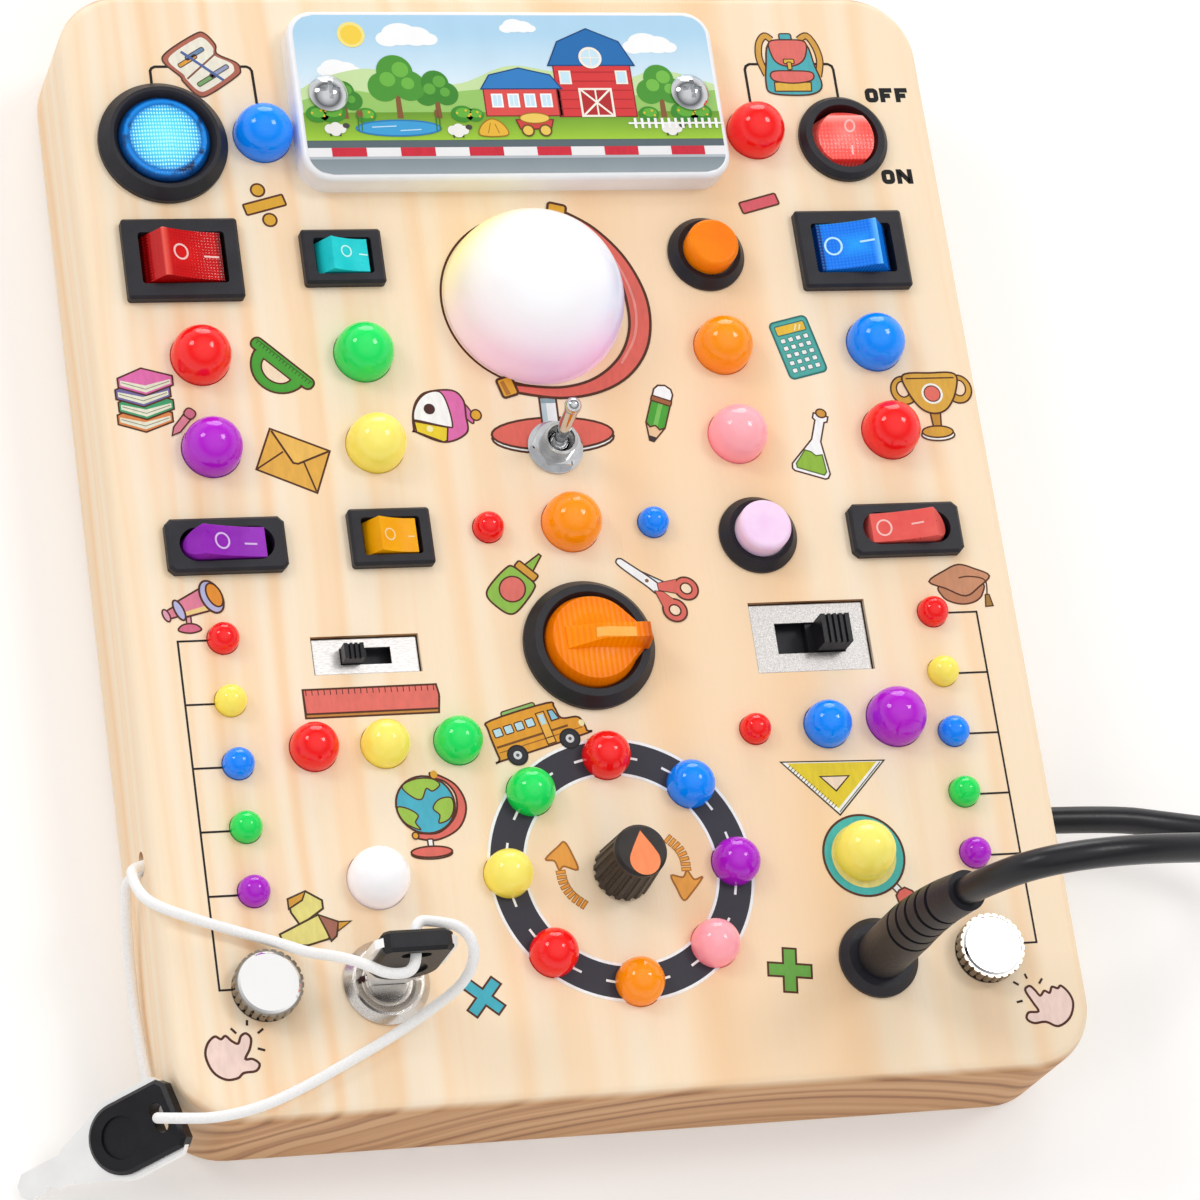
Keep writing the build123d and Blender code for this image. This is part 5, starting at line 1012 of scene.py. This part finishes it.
# trees and flowering bushes
for x, y, r, tone, light in (
    (-20.6, 2.4, 4.2, "#4C9A34", "#6FBA46"), (-13.6, 0.6, 3.2, "#3E8A2E", "#62AE40"),
    (27.6, 1.2, 3.6, "#4C9A34", "#78C04C"), (-30.4, -0.8, 2.7, "#3E8A2E", "#62AE40"),
):
    p.level = 14
    p.fill([(x - 0.55, -4.8), (x + 0.55, -4.8), (x + 0.35, y), (x - 0.35, y)], "#8A5A34")
    for dx, dy, size in ((-0.55, -0.25, 0.68), (0.55, -0.2, 0.7), (0, 0.45, 0.78)):
        p.fill(oval(x + dx * r, y + dy * r, size * r), tone)
    for dx, dy, size in ((-0.35, 0.1, 0.34), (0.25, 0.55, 0.36), (0.5, -0.1, 0.28)):
        p.fill(oval(x + dx * r, y + dy * r, size * r), light)
for x, y, r in (
    (-35.4, -3.9, 1.9), (-32.8, -3.6, 2.3), (-26.8, -4.2, 1.7), (-9.4, -4.0, 1.9),
    (-7.2, -4.2, 1.5), (24.8, -4.1, 1.7), (31.6, -3.7, 2.4), (34.4, -3.9, 2.0),
):
    p.level = 24
    p.fill(oval(x, y, r * 1.1, r * 0.85), "#3F8F2B")
    p.fill(oval(x + 0.2, y + 0.25, r * 0.75, r * 0.5), "#66B53A")
    for dx, dy in ((-0.5, 0.1), (0.35, 0.35), (0.6, -0.2)):
        p.level = 27
        p.fill(oval(x + dx * r, y + dy * r, 0.22, steps=10), "#F2C13A")

# pond with reeds, a haystack, a hay cart and sheep
p.level = 24
p.shape(oval(-21.2, -6.7, 7.6, 1.5), "#3FA3DC", 0.3, "#2C7FB8")
p.line([(-26.0, -6.5), (-21.6, -6.3)], 0.2, "#C7E8F8")
p.line([(-21.0, -7.2), (-17.2, -7.0)], 0.2, "#C7E8F8")
for x in (-28.4, -27.8, -14.4, -13.8):
    p.level = 30
    p.line([(x, -7.2), (x + 0.2, -3.8)], 0.22, "#3F7A24")
    p.fill(oval(x + 0.2, -3.9, 0.28, 0.75, steps=12), "#8A5A34")
p.level = 28
p.shape(smooth([(-6.6, -8.2), (-6.2, -6.2), (-4.2, -5.0), (-2.2, -6.2), (-1.8, -8.2)], steps=5),
    "#EDB83A", 0.22, "#A8741A")
for straw in ([(-5.2, -7.8), (-4.6, -5.8)], [(-3.2, -7.8), (-3.8, -6.0)]):
    p.line(straw, 0.14, "#A8741A")
p.level = 28
p.shape([(0.8, -7.0), (6.4, -7.0), (7.0, -5.2), (0.2, -5.2)], "#D6453E", 0.22, "#7A2320")
for x in (2.1, 5.3):
    p.shape(oval(x, -7.3, 1.05), "#F0C95A", 0.3, "#6A4A24")
p.shape(oval(3.6, -4.9, 2.7, 1.0), "#F3CE62", 0.2, "#A8741A")
for x, y in ((-32.6, -6.8), (-10.6, -7.2), (28.6, -7.0)):
    p.level = 28
    for dx in (-0.9, 0.8):
        p.line([(x + dx, y - 0.4), (x + dx, y - 1.4)], 0.3, "#4A4340")
    for dx, dy, r in ((-1.0, 0, 0.9), (0.1, 0.25, 1.05), (1.1, 0, 0.85), (0, -0.4, 1.0)):
        p.fill(oval(x + dx, y + dy, r), "#F4F1EC")
    p.fill(oval(x + 2.0, y + 0.6, 0.62, 0.5), "#4A4340")

# road, kerb and verge
p.level = 4
band(-10.4, -9.0, "#5C6A70")
band(-12.1, -10.4, "#F3F1F2")
band(-12.6, -12.1, "#B9C0C6")
band(-15.5, -12.6, lambda x, y: between((y - PLATE_AT[1] + 15.5) / 2.9, "#9AA5AB", "#86929A"), 4)
# On the moulded plate the same inks lie smooth and glossy.
glossy_ink = printing_ink("uv_inks_on_plastic", 6.0, "#FAFAFA", (0.22, 0.28))
ink_piece("plate_picture", p.sheet, glossy_ink, "board")
red_ink = plain_ink("red_kerb_ink", "#D7263C", "#C91F35")
for name, ends, pitch, length, width, colour, lift in (
    ("plate_kerb_blocks", [(-30.6, -11.25), (31.0, -11.25)], 12.3, 6.2, 1.7, red_ink, 0.08),
    ("plate_fence", [(22.0, -6.0), (37.0, -6.0)], 1.25, 0.5, 2.0, white_ink, 0.25),
    ("plate_fence_rail", [(22.0, -6.0), (37.0, -6.0)], 2.5, 2.6, 0.35, white_ink, 0.24),
):
    row_of_marks(name, placed(ends, *PLATE_AT), pitch, length, width, colour, PLATE_TOP + lift)

# ---------------------------------------------------------------- lamps
# Dyed polycarbonate lamp caps of three sizes, glossy and softly see-through.
# Each is pushed into its hole from behind until its collar stops under the wood.
def lamp_cap(name, core, edge, deep):
    """A dyed cap: its colour deepens towards the collar in the wood, where the wall is thickest."""
    material, tree, mm = start_finish(name)
    height = node(tree, "ShaderNodeSeparateXYZ", {"Vector": mm}).outputs["Z"]
    rise = node(tree, "ShaderNodeMapRange", {"Value": height, "From Min": FACE, "From Max": FACE + 6.0})
    body = shades(tree, rise, (0.0, deep), (0.25, core), (1.0, edge))
    cloud = grain(tree, mm, 2.5)
    haze = span(tree, cloud, 0.0, 0.25)
    tone = node(tree, "ShaderNodeMixRGB", {"Fac": haze, "Color1": body, "Color2": linear(edge)})
    # The clear wall gathers light and gives it back in its own colour: a weak glow stands for that.
    end_finish(tree, {
        "Base Color": tone, "Roughness": span(tree, cloud, 0.06, 0.1), "Specular IOR Level": 0.5,
        "Subsurface Weight": 0.5, "Subsurface Radius": (2.0, 2.0, 2.0), "Subsurface Scale": MM,
        "Emission Color": tone, "Emission Strength": 0.17,
    }, cloud, 0.01)
    return material


LAMP_DYES = {
    "red": ("#E60A10", "#F21A18", "#C0060A"), "blue": ("#007CF0", "#008CFC", "#005CBE"),
    "green": ("#0CCB4C", "#20E066", "#08A63A"), "purple": ("#9C0EB6", "#B31CCA", "#780894"),
    "orange": ("#F28400", "#FB9408", "#DC7200"), "yellow": ("#F0DC50", "#F6E772", "#E0C830"),
    "pink": ("#FF94A2", "#FFACB4", "#F4788A"), "white": ("#F2ECF2", "#FAF7FA", "#DDD5E0"),
}
caps = {dye: lamp_cap(f"{dye}_polycarbonate", *tones) for dye, tones in LAMP_DYES.items()}
lamp_spots = [
    (-45.1, 73.6, "blue"), (45.1, 73.6, "red"), (-60.8, 31.8, "red"), (-32.4, 31.8, "green"),
    (32.4, 31.8, "orange"), (60.8, 31.8, "blue"), (-60.8, 14.9, "purple"), (-32.4, 14.9, "yellow"),
    (32.4, 14.9, "pink"), (60.8, 14.9, "red"), (0.0, -0.6, "orange"), (52.6, -38.3, "purple"),
    (-41.9, -62.2, "white"), (42.9, -62.0, "yellow"), (-49.8, -39.0, "red"), (-37.7, -39.0, "yellow"),
    (-25.2, -39.0, "green"), (40.1, -39.0, "blue"), (-14.7, -0.9, "red"), (14.7, -0.9, "blue"),
    (27.1, -39.2, "red"),
]
# eight in a ring, clockwise from the top, and a column of five at each side
for i, dye in enumerate(("red", "blue", "purple", "pink", "orange", "red", "yellow", "green")):
    turn = i * math.pi / 4
    x, y = LAMP_RING[0] + RING_LAMPS * math.sin(turn), LAMP_RING[1] + RING_LAMPS * math.cos(turn)
    lamp_spots.append((x, y, dye))
for row, dye in enumerate(("red", "yellow", "blue", "green", "purple")):
    lamp_spots += [(side * 62.8, -19.2 - 11 * row, dye) for side in (-1, 1)]
for name in ("large_leds", "medium_leds", "small_leds"):
    dress(name, *caps.values())
    for face in nodes[name].data.polygons:
        x, y, _ = face.center / MM
        nearest = min(lamp_spots, key=lambda spot: (spot[0] - x) ** 2 + (spot[1] - y) ** 2)
        face.material_index = list(LAMP_DYES).index(nearest[2])

# ---------------------------------------------------------------- dome lamp
# A large half sphere of milky acrylic, clipped in from behind over a small colour-changing lamp.
# The lamp stands on a round board of its own and tints the dome's rim.
opal, tree, mm = start_finish("opal_acrylic_dome")
about = node(tree, "ShaderNodeMapping", {"Vector": mm, "Location": (0.8, -41.5, -FACE)})
outward = node(tree, "ShaderNodeVectorMath", {0: about}, operation="NORMALIZE")
spread = node(tree, "ShaderNodeSeparateXYZ", {"Vector": outward}).outputs
# Milk-white plastic, lit from inside: white at the crown, its rim goes yellow, blue and pink.
rim = node(tree, "ShaderNodeMapRange", {"Value": spread["Z"], "From Min": 0.9, "From Max": 0.34})
upward = node(tree, "ShaderNodeMapRange", {"Value": spread["Y"], "From Min": -0.8, "From Max": 0.8})
left = shades(tree, upward, (0.0, "#FFD4EA"), (0.35, "#FFE0E2"), (0.7, "#FFF3BC"), (1.0, "#F9F0A0"))
right = shades(tree, upward, (0.0, "#FCCBF4"), (0.25, "#C8D0FF"), (0.6, "#B0CCFF"), (1.0, "#DCE8FF"))
rightward = node(tree, "ShaderNodeMapRange", {"Value": spread["X"], "From Min": -0.5, "From Max": 0.6})
ring_tint = node(tree, "ShaderNodeMixRGB", {"Fac": rightward, "Color1": left, "Color2": right})
milk = node(tree, "ShaderNodeMixRGB", {"Fac": rim, "Color1": linear("#FCFBFF"), "Color2": ring_tint})
haze = grain(tree, mm, 3)
end_finish(tree, {
    "Base Color": milk, "Roughness": span(tree, haze, 0.14, 0.2), "IOR": 1.49,
    "Subsurface Weight": 0.5, "Subsurface Radius": (3, 3, 3), "Subsurface Scale": MM,
    "Emission Color": milk, "Emission Strength": 0.17,
}, haze, 0.01)
dress("dome_lens", opal)

# ---------------------------------------------------------------- rocker switches
# Seven switches snapped into the face by spring clips: black nylon bezels and bodies,
# each with a moulded paddle that rocks on two pins. Three of the paddles are clear, over a small lamp.
dull = dict(Specular_IOR_Level=0.3)
bezel_black = moulded("black_pa66_bezels", "#212026", "#2A292F", (0.36, 0.5), 0.5, 0.03, **dull)
dress("large_rocker_housings small_rocker_housings oval_rocker_housings", bezel_black)
dress("power_switch_housing slide_switch_bases", bezel_black)
soft = dict(Subsurface_Weight=0.2, Subsurface_Scale=MM, Subsurface_Radius=(1.5, 1.5, 1.5),
    Specular_IOR_Level=0.16)
for tint, dark, light in (
    ("teal", "#1ACFD4", "#2ADDE2"), ("amber", "#FBA600", "#FFB208"),
    ("purple", "#8F1FB2", "#9E2EC2"), ("coral", "#EA5852", "#F26A62"),
):
    dress(f"{tint}_rocker", moulded(f"{tint}_abs_paddle", dark, light, (0.24, 0.34), 0.9, 0.01, **soft))
WAVE_PITCH = 0.314         # the pitch of a wave texture's bands where its scale is 1


def middle_and_half(name):
    """The middle of a part's box and half its size, in millimetres."""
    low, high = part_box(name)
    return [(a + b) / 2 / MM for a, b in zip(low, high)], [(b - a) / 2 / MM for a, b in zip(low, high)]


def from_middle(tree, mm, middle):
    """How far a place is from the middle across, along and up, in millimetres."""
    centred = node(tree, "ShaderNodeMapping", {"Vector": mm, "Location": tuple(-place for place in middle)})
    axes = node(tree, "ShaderNodeSeparateXYZ", {"Vector": centred}).outputs
    sides = [node(tree, "ShaderNodeMath", {0: axes[axis]}, operation="ABSOLUTE") for axis in "XY"]
    return sides + [axes["Z"]]


def moulded_prisms(tree, mm, row_pitch, column_pitch, wobble):
    """Rows and columns of little prisms inside a lens, as a height from 0 to 1."""
    feeds = [{"Vector": mm, "Scale": WAVE_PITCH / pitch, "Distortion": wobble}
             for pitch in (row_pitch, column_pitch)]
    rows, columns = (node(tree, "ShaderNodeTexWave", feed, bands_direction=axis)
                     for feed, axis in zip(feeds, "YX"))
    return node(tree, "ShaderNodeMath", {0: rows.outputs["Fac"], 1: columns.outputs["Fac"]},
        operation="MULTIPLY")


def clear_paddle(name, deep, core, glow, ridge, pitch, strength):
    """Tinted clear plastic over a lamp: dark at its thick ends, bright over the lamp, with a painted
    highlight along its ridge.
    """
    middle, half = middle_and_half(name)
    material, tree, mm = start_finish(f"{name}_clear_plastic")
    across, along, up = from_middle(tree, mm, middle)
    reach = [node(tree, "ShaderNodeMath", {0: out, 1: size}, operation="DIVIDE")
             for out, size in zip((across, along), half)]
    edge = node(tree, "ShaderNodeMath", {0: reach[0], 1: reach[1]}, operation="MAXIMUM")
    body = shades(tree, edge, (0.0, glow), (0.5, core), (0.78, core), (0.86, deep))
    # The lens is ribbed inside, a rib every half millimetre each way, and the lamp lights the ribs unevenly.
    ribs = moulded_prisms(tree, mm, pitch, pitch, 0.3)
    barred = span(tree, ribs, 0.0, 0.5)
    ribbed = node(tree, "ShaderNodeMixRGB", {"Fac": barred, "Color1": body, "Color2": linear(glow)})
    # Near the top of the paddle its colour goes to the ridge colour: a painted highlight along the crest.
    painted_ridge_highlight = node(tree, "ShaderNodeMapRange", {"Value": up, "From Min": half[2] - 0.5,
        "From Max": half[2] - 0.05})
    tone = node(tree, "ShaderNodeMixRGB", {"Fac": painted_ridge_highlight, "Color1": ribbed, "Color2": linear(ridge)})
    end_finish(tree, {
        "Base Color": tone, "Roughness": 0.14, "Specular IOR Level": 0.3,
        "Subsurface Weight": 0.3, "Subsurface Scale": MM, "Subsurface Radius": (1.5, 1.5, 1.5),
        "Emission Color": tone, "Emission Strength": strength,
    }, ribs, 0.02)
    dress(name, material)


# The fourth colour of each is the painted highlight along its ridge.
clear_paddle("red_rocker", "#6A0306", "#C20408", "#DE1210", "#EE5A4C", 0.55, 0.06)
clear_paddle("blue_rocker", "#042468", "#0A6EE0", "#1E9CF8", "#5FB4FF", 0.6, 0.2)
clear_paddle("power_rocker", "#E2302C", "#F4564E", "#FF8078", "#FFA79E", 0.7, 0.24)
# The rockers' marks: a ring for off and a stroke for on, pad-printed on each paddle.
HIGH_ABOVE, LIFT = 0.06, 0.00002    # where rays start above the face, and how far a mark lies off it


def projected(name, part, paths, material, width, body=None):
    """Marks laid on a part's surface: each path is a list of places on the face, and whether it closes."""
    shell = nodes[part].data
    skin = BVHTree.FromPolygons([v.co for v in shell.vertices], [face.vertices for face in shell.polygons])
    film = bmesh.new()
    for points, closed in paths:
        rails, count = [], len(points)
        for i, point in enumerate(points):
            before = Vector(points[i - 1] if closed or i else point)
            after = Vector(points[(i + 1) % count] if closed or i < count - 1 else point)
            along = (after - before).normalized()
            for side in (0.5, -0.5):
                x, y = Vector(point) + Vector((-along.y, along.x)) * width * side
                hit, normal, _, _ = skin.ray_cast(Vector((x * MM, y * MM, HIGH_ABOVE)), Vector((0, 0, -1)))
                rails.append(film.verts.new(hit + normal * LIFT))
        for i in range(count if closed else count - 1):
            j = (i + 1) % count
            film.faces.new((rails[2 * i + 1], rails[2 * j + 1], rails[2 * j], rails[2 * i]))
    ink_piece(name, film, material, body or part)


def stroke(start, end, steps=8):
    """A straight open path in small steps, so that it follows a hollow top."""
    return [tuple(a + (b - a) * i / steps for a, b in zip(start, end)) for i in range(steps + 1)], False


for body, ring_at, radius, dash, tone, width, slot in (
    ("red_rocker", (-62.73, 49.98), 1.35, ((-58.55, 49.52), (-55.9, 49.51)), "#F4C6C0", 0.34, "red_clear"),
    ("teal_rocker", (-33.49, 50.3), 1.0, ((-31.15, 49.9), (-29.7, 49.74)), "#C6FBF6", 0.26, "teal"),
    ("purple_rocker", (-61.64, -2.99), 1.35, ((-57.71, -3.29), (-55.5, -3.3)), "#DDBDEC", 0.32, "purple"),
    ("amber_rocker", (-32.61, -2.43), 1.0, ((-29.29, -2.64), (-28.2, -2.65)), "#FFD796", 0.26, "amber"),
    ("coral_rocker", (55.85, -3.99), 1.4, ((60.61, -3.82), (62.7, -3.74)), "#FBC4BE", 0.32, "coral"),
    ("blue_rocker", (55.44, 49.97), 1.62, ((60.11, 50.22), (62.6, 50.22)), "#BDF0FF", 0.36, "blue_clear"),
    ("power_rocker", (62.39, 73.6), 0.98, ((62.5, 70.1), (62.4, 68.3)), "#FFC9C4", 0.34, "red_lens"),
):
    ring = oval(*ring_at, radius * 0.9, radius)
    pad_ink = plain_ink(f"{body}_mark_ink", tone, tone)
    projected(f"{body}_marks", body, [(ring, True), stroke(*dash)], pad_ink, width)

# ---------------------------------------------------------------- push buttons
# The largest has a clear prism lens over a lamp, two have soft opaque caps; all sit in black nylon bezels.
# The two tap buttons are turned metal with knurled rims, each in a nickelled collar.
dress("blue_button_bezel push_button_housings selector_bezel power_socket", bezel_black)


def from_axis(tree, mm, x, y):
    """How far a place is from an upright axis, in millimetres."""
    flat = node(tree, "ShaderNodeMapping", {"Vector": mm, "Location": (-x, -y, 0), "Scale": (1, 1, 0)})
    return node(tree, "ShaderNodeVectorMath", {0: flat}, operation="LENGTH").outputs["Value"]


# The lens is moulded below in rows of tiny prisms, so the middle glitters pale cyan inside a deep blue rim.
prism, tree, mm = start_finish("blue_prism_lens")
middle, _ = middle_and_half("blue_button_lens")
away = from_axis(tree, mm, *middle[:2])
rings = node(tree, "ShaderNodeMapRange", {"Value": away, "From Max": 8.0})
# The paler ring between the two darker ones near the rim is a painted highlight.
disc = shades(tree, rings, (0.0, "#6CDFEC"), (0.5, "#48CAE6"), (0.72, "#1A9AE0"), (0.79, "#0466B4"),
    (0.86, "#0E86DE"), (0.93, "#044C92"), (1.0, "#022650"))
# Reflections chase round the clear wall outside the prisms, so its blue is broken by navy patches.
chase = grain(tree, mm, 3.2, detail=1.0)
patches = node(tree, "ShaderNodeMapRange", {"Value": chase, "From Min": 0.5, "From Max": 0.62})
outside_prisms = node(tree, "ShaderNodeMapRange", {"Value": away, "From Min": 6.0, "From Max": 6.6})
navy = node(tree, "ShaderNodeMath", {0: patches, 1: outside_prisms}, operation="MULTIPLY")
disc = node(tree, "ShaderNodeMixRGB", {"Fac": navy, "Color1": disc, "Color2": linear("#02244E")})
facets = moulded_prisms(tree, mm, 0.7, 0.5, 1.2)
inside = node(tree, "ShaderNodeMapRange", {"Value": away, "From Min": 6.3, "From Max": 5.6})
glitter = node(tree, "ShaderNodeMath", {0: facets, 1: inside}, operation="MULTIPLY")
uneven = span(tree, grain(tree, mm, 2.0), 0.5, 1.6)
sparkle = node(tree, "ShaderNodeMath", {0: glitter, 1: uneven}, operation="MULTIPLY")
lit_lens = node(tree, "ShaderNodeMixRGB", {"Fac": sparkle, "Color1": disc, "Color2": linear("#BEFAF8")})
end_finish(tree, {
    "Base Color": lit_lens, "Roughness": 0.1, "Specular IOR Level": 0.3,
    "Emission Color": lit_lens, "Emission Strength": 0.2,
}, facets, 0.03)
dress("blue_button_lens", prism)
for tint, dark, light in (("orange", "#FF7E00", "#FF8A00"), ("pink", "#FBD2F6", "#FFE2FC")):
    dress(f"{tint}_button", moulded(f"{tint}_abs_cap", dark, light, (0.26, 0.36), 0.9, 0.01, **soft))
for name in ("left_tap_button", "right_tap_button"):
    # Their tops mirror the white room; the knurled rims catch wood and shadow, so they read darker.
    middle, half = middle_and_half(name)
    material, tree, mm = start_finish(f"{name}_chrome")
    away = from_axis(tree, mm, *middle[:2])
    rim = node(tree, "ShaderNodeMapRange", {"Value": away, "From Min": half[0] - 0.62,
        "From Max": half[0] - 0.42})
    # The pale top is a painted reflection of the room, and the dark rim is painted shade.
    tone = shades(tree, rim, (0.0, "#F6F5F4"), (1.0, "#8C8379"))
    polish = span(tree, grain(tree, mm, 5), 0.1, 0.14)
    end_finish(tree, {"Base Color": tone, "Metallic": 1.0, "Roughness": polish})
    dress(name, material)
dress("tap_button_collars", metal("nickel_collars", "#8F8E8A", "#BDBBB6", (0.2, 0.32)))

# ---------------------------------------------------------------- toggle, slides, selector, dial
# A chromed toggle in a nickelled bushing with its nut, and two slide switches under sheared steel frames.
# The selector is clear amber plastic and the dial a fluted charcoal knob, each pushed on its spindle.
chrome = metal("bright_chrome", "#C6C7CA", "#DADBDD", (0.04, 0.09))
dress("toggle_nut toggle_lever", chrome)
dress("toggle_body", metal("nickelled_toggle_bushing", "#A9A8A6", "#C6C5C3", (0.12, 0.22)))
for name, worn, bright, brush in (
    ("large_slide_frame", "#918D8B", "#D3CFCC", 1.5), ("small_slide_frame", "#C9C5C2", "#F3EFEC", 6),
):
    # Sheared steel: a fine satin grain, and a dark band a quarter of a millimetre wide along its cut edges,
    # painted shade of the gap round the frame in its recess.
    middle, half = middle_and_half(name)
    material, tree, mm = start_finish(f"{name}_steel")
    across, along, _ = from_middle(tree, mm, middle)
    inset = [node(tree, "ShaderNodeMath", {0: size, 1: out}, operation="SUBTRACT")
             for out, size in zip((across, along), half)]
    nearest_edge = node(tree, "ShaderNodeMath", {0: inset[0], 1: inset[1]}, operation="MINIMUM")
    # The dark edge band is painted shade, where the recess round the frame falls into shadow.
    painted_gap_shade = node(tree, "ShaderNodeMapRange", {"Value": nearest_edge, "From Min": 0.32, "From Max": 0.16})
    scratch = grain(tree, mm, 0.12, (brush, 1, 1), 3)
    satin = shades(tree, scratch, (0.3, worn), (0.7, bright))
    tone = node(tree, "ShaderNodeMixRGB", {"Fac": painted_gap_shade, "Color1": satin, "Color2": linear("#2E2420")})
    feeds = {"Base Color": tone, "Metallic": 1.0, "Roughness": span(tree, scratch, 0.3, 0.44)}
    end_finish(tree, feeds, scratch, 0.02)
    dress(name, material)
sliders = moulded("black_acetal_sliders", "#121114", "#1C1B1F", (0.26, 0.38), 0.6, 0.02, **dull)
dress("small_slide_knob large_slide_knob", sliders)
amber, tree, mm = start_finish("amber_clear_selector")
# Clear amber with fine prisms moulded across it, just under 1 mm apart, and a pale window on the pointer.
away = from_axis(tree, mm, 0.1, -22.9)
waves = {"Vector": mm, "Scale": WAVE_PITCH / 0.95, "Distortion": 0.6}
prisms = node(tree, "ShaderNodeTexWave", waves, bands_direction="X").outputs["Fac"]
outward = node(tree, "ShaderNodeMapRange", {"Value": away, "From Max": 9.0})
depth = shades(tree, outward, (0.0, "#F88C00"), (0.55, "#FC9000"), (0.82, "#F07C00"), (1.0, "#BC4C00"))
barred = span(tree, prisms, 0.0, 0.3)
banded = node(tree, "ShaderNodeMixRGB", {"Fac": barred, "Color1": depth, "Color2": linear("#D86400")})
place = node(tree, "ShaderNodeSeparateXYZ", {"Vector": mm})
low_wall = node(tree, "ShaderNodeMapRange", {"Value": place.outputs["Z"], "From Min": 28.0, "From Max": 22.0})
tone = node(tree, "ShaderNodeMixRGB", {"Fac": low_wall, "Color1": banded, "Color2": linear("#D96400")})
# Its weak glow is painted light, for light gathered in the clear amber.
end_finish(tree, {
    "Base Color": tone, "Roughness": span(tree, prisms, 0.16, 0.26), "Specular IOR Level": 0.14,
    "Subsurface Weight": 0.3, "Subsurface Scale": MM, "Subsurface Radius": (2.5, 2.5, 2.5),
    "Emission Color": tone, "Emission Strength": 0.12,
}, prisms, 0.03)
dress("selector_knob", amber)
rib_top = [(x, -23.0 - 0.05 * x) for x in (-0.4, 1.0, 2.4, 3.8, 5.2, 6.4)]
window = plain_ink("pale_amber_window", "#FFBE5C", "#FFB246")
projected("selector_window", "selector_knob", [(rib_top, False)], window, 1.7)
dress("dial_knob", moulded("charcoal_dial", "#26211F", "#332D2A", (0.36, 0.48), 0.7, 0.02, **dull))
dress("dial_control", bezel_black)
drop = [(0.2, -59.9), (-1.3, -62.5)] + oval(0.35, -65.0, 2.6, start=158, end=382, steps=20) + [(1.9, -62.5)]
POINTER_TOP = 0.03683       # a hair above the dial's flat top
pointer = bmesh.new()
pointer.faces.new([pointer.verts.new((x * MM, y * MM, POINTER_TOP)) for x, y in drop])
pointer.normal_update()
drop_ink = plain_ink("orange_pointer_ink", "#FF9560", "#FF8D55")
ink_piece("dial_pointer", pointer, drop_ink, "dial_knob")

# ---------------------------------------------------------------- lock and keys
# A nickel-plated cam lock, held through the face by a nut behind it.
# Each key is a flat nickelled blank with a black grip moulded over its bow.
nickel = metal("satin_nickel_lock", "#BDB7B0", "#E6E1DB", (0.16, 0.26), (1, 1, 3), 0.01)
dress("lock_barrel lock_core", nickel)
# A small dark-red dot on its flange shows where the slot stands when locked.
index_ink = plain_ink("dark_red_index_ink", "#3C0F0C", "#2C0A08")
dot = oval(-46.5, -79.2, 0.3, steps=16)
projected("lock_index_dot", "lock_barrel", [(dot, True)], index_ink, 0.6, "board")
KEY_THICK = 1.5
blank = metal("nickelled_key_blank", "#FAF9F8", "#FFFFFE", (0.52, 0.6), size=5.0)
grip = moulded("black_key_grip", "#121115", "#1B1A1F", (0.3, 0.42), 0.6, 0.02, **dull)
SPARE_TIP = Vector((-101.0, -104.05, 0.75))
SPARE_ALONG = Vector((0.735, 0.211, 0.646)).normalized()
SPARE_ACROSS = Vector((0.276, -0.961, 0.0)).normalized()
for name, flat_at, across_flat in (
    ("lock_key", Vector((-42.7, -79.8, 0)), Vector((0, 1, 0))),
    ("spare_key", SPARE_TIP, SPARE_ALONG.cross(SPARE_ACROSS).normalized()),
):
    dress(name, grip, blank)
    mesh = nodes[name].data
    for face in mesh.polygons:
        out = max(abs((mesh.vertices[i].co / MM - flat_at).dot(across_flat)) for i in face.vertices)
        face.material_index = 1 if out < KEY_THICK / 2 + 0.03 else 0

# ---------------------------------------------------------------- plug and grommet
# A plug of soft black PVC moulded straight on to the lead; it pushes into the socket on the face.
# The grommet is the same PVC, snapped into the hole in the board's right side.
soft_pvc = moulded("black_pvc_mouldings", "#201F25", "#29272D", (0.36, 0.5), 0.7, 0.03, **dull)
dress("power_plug cable_grommet", soft_pvc)
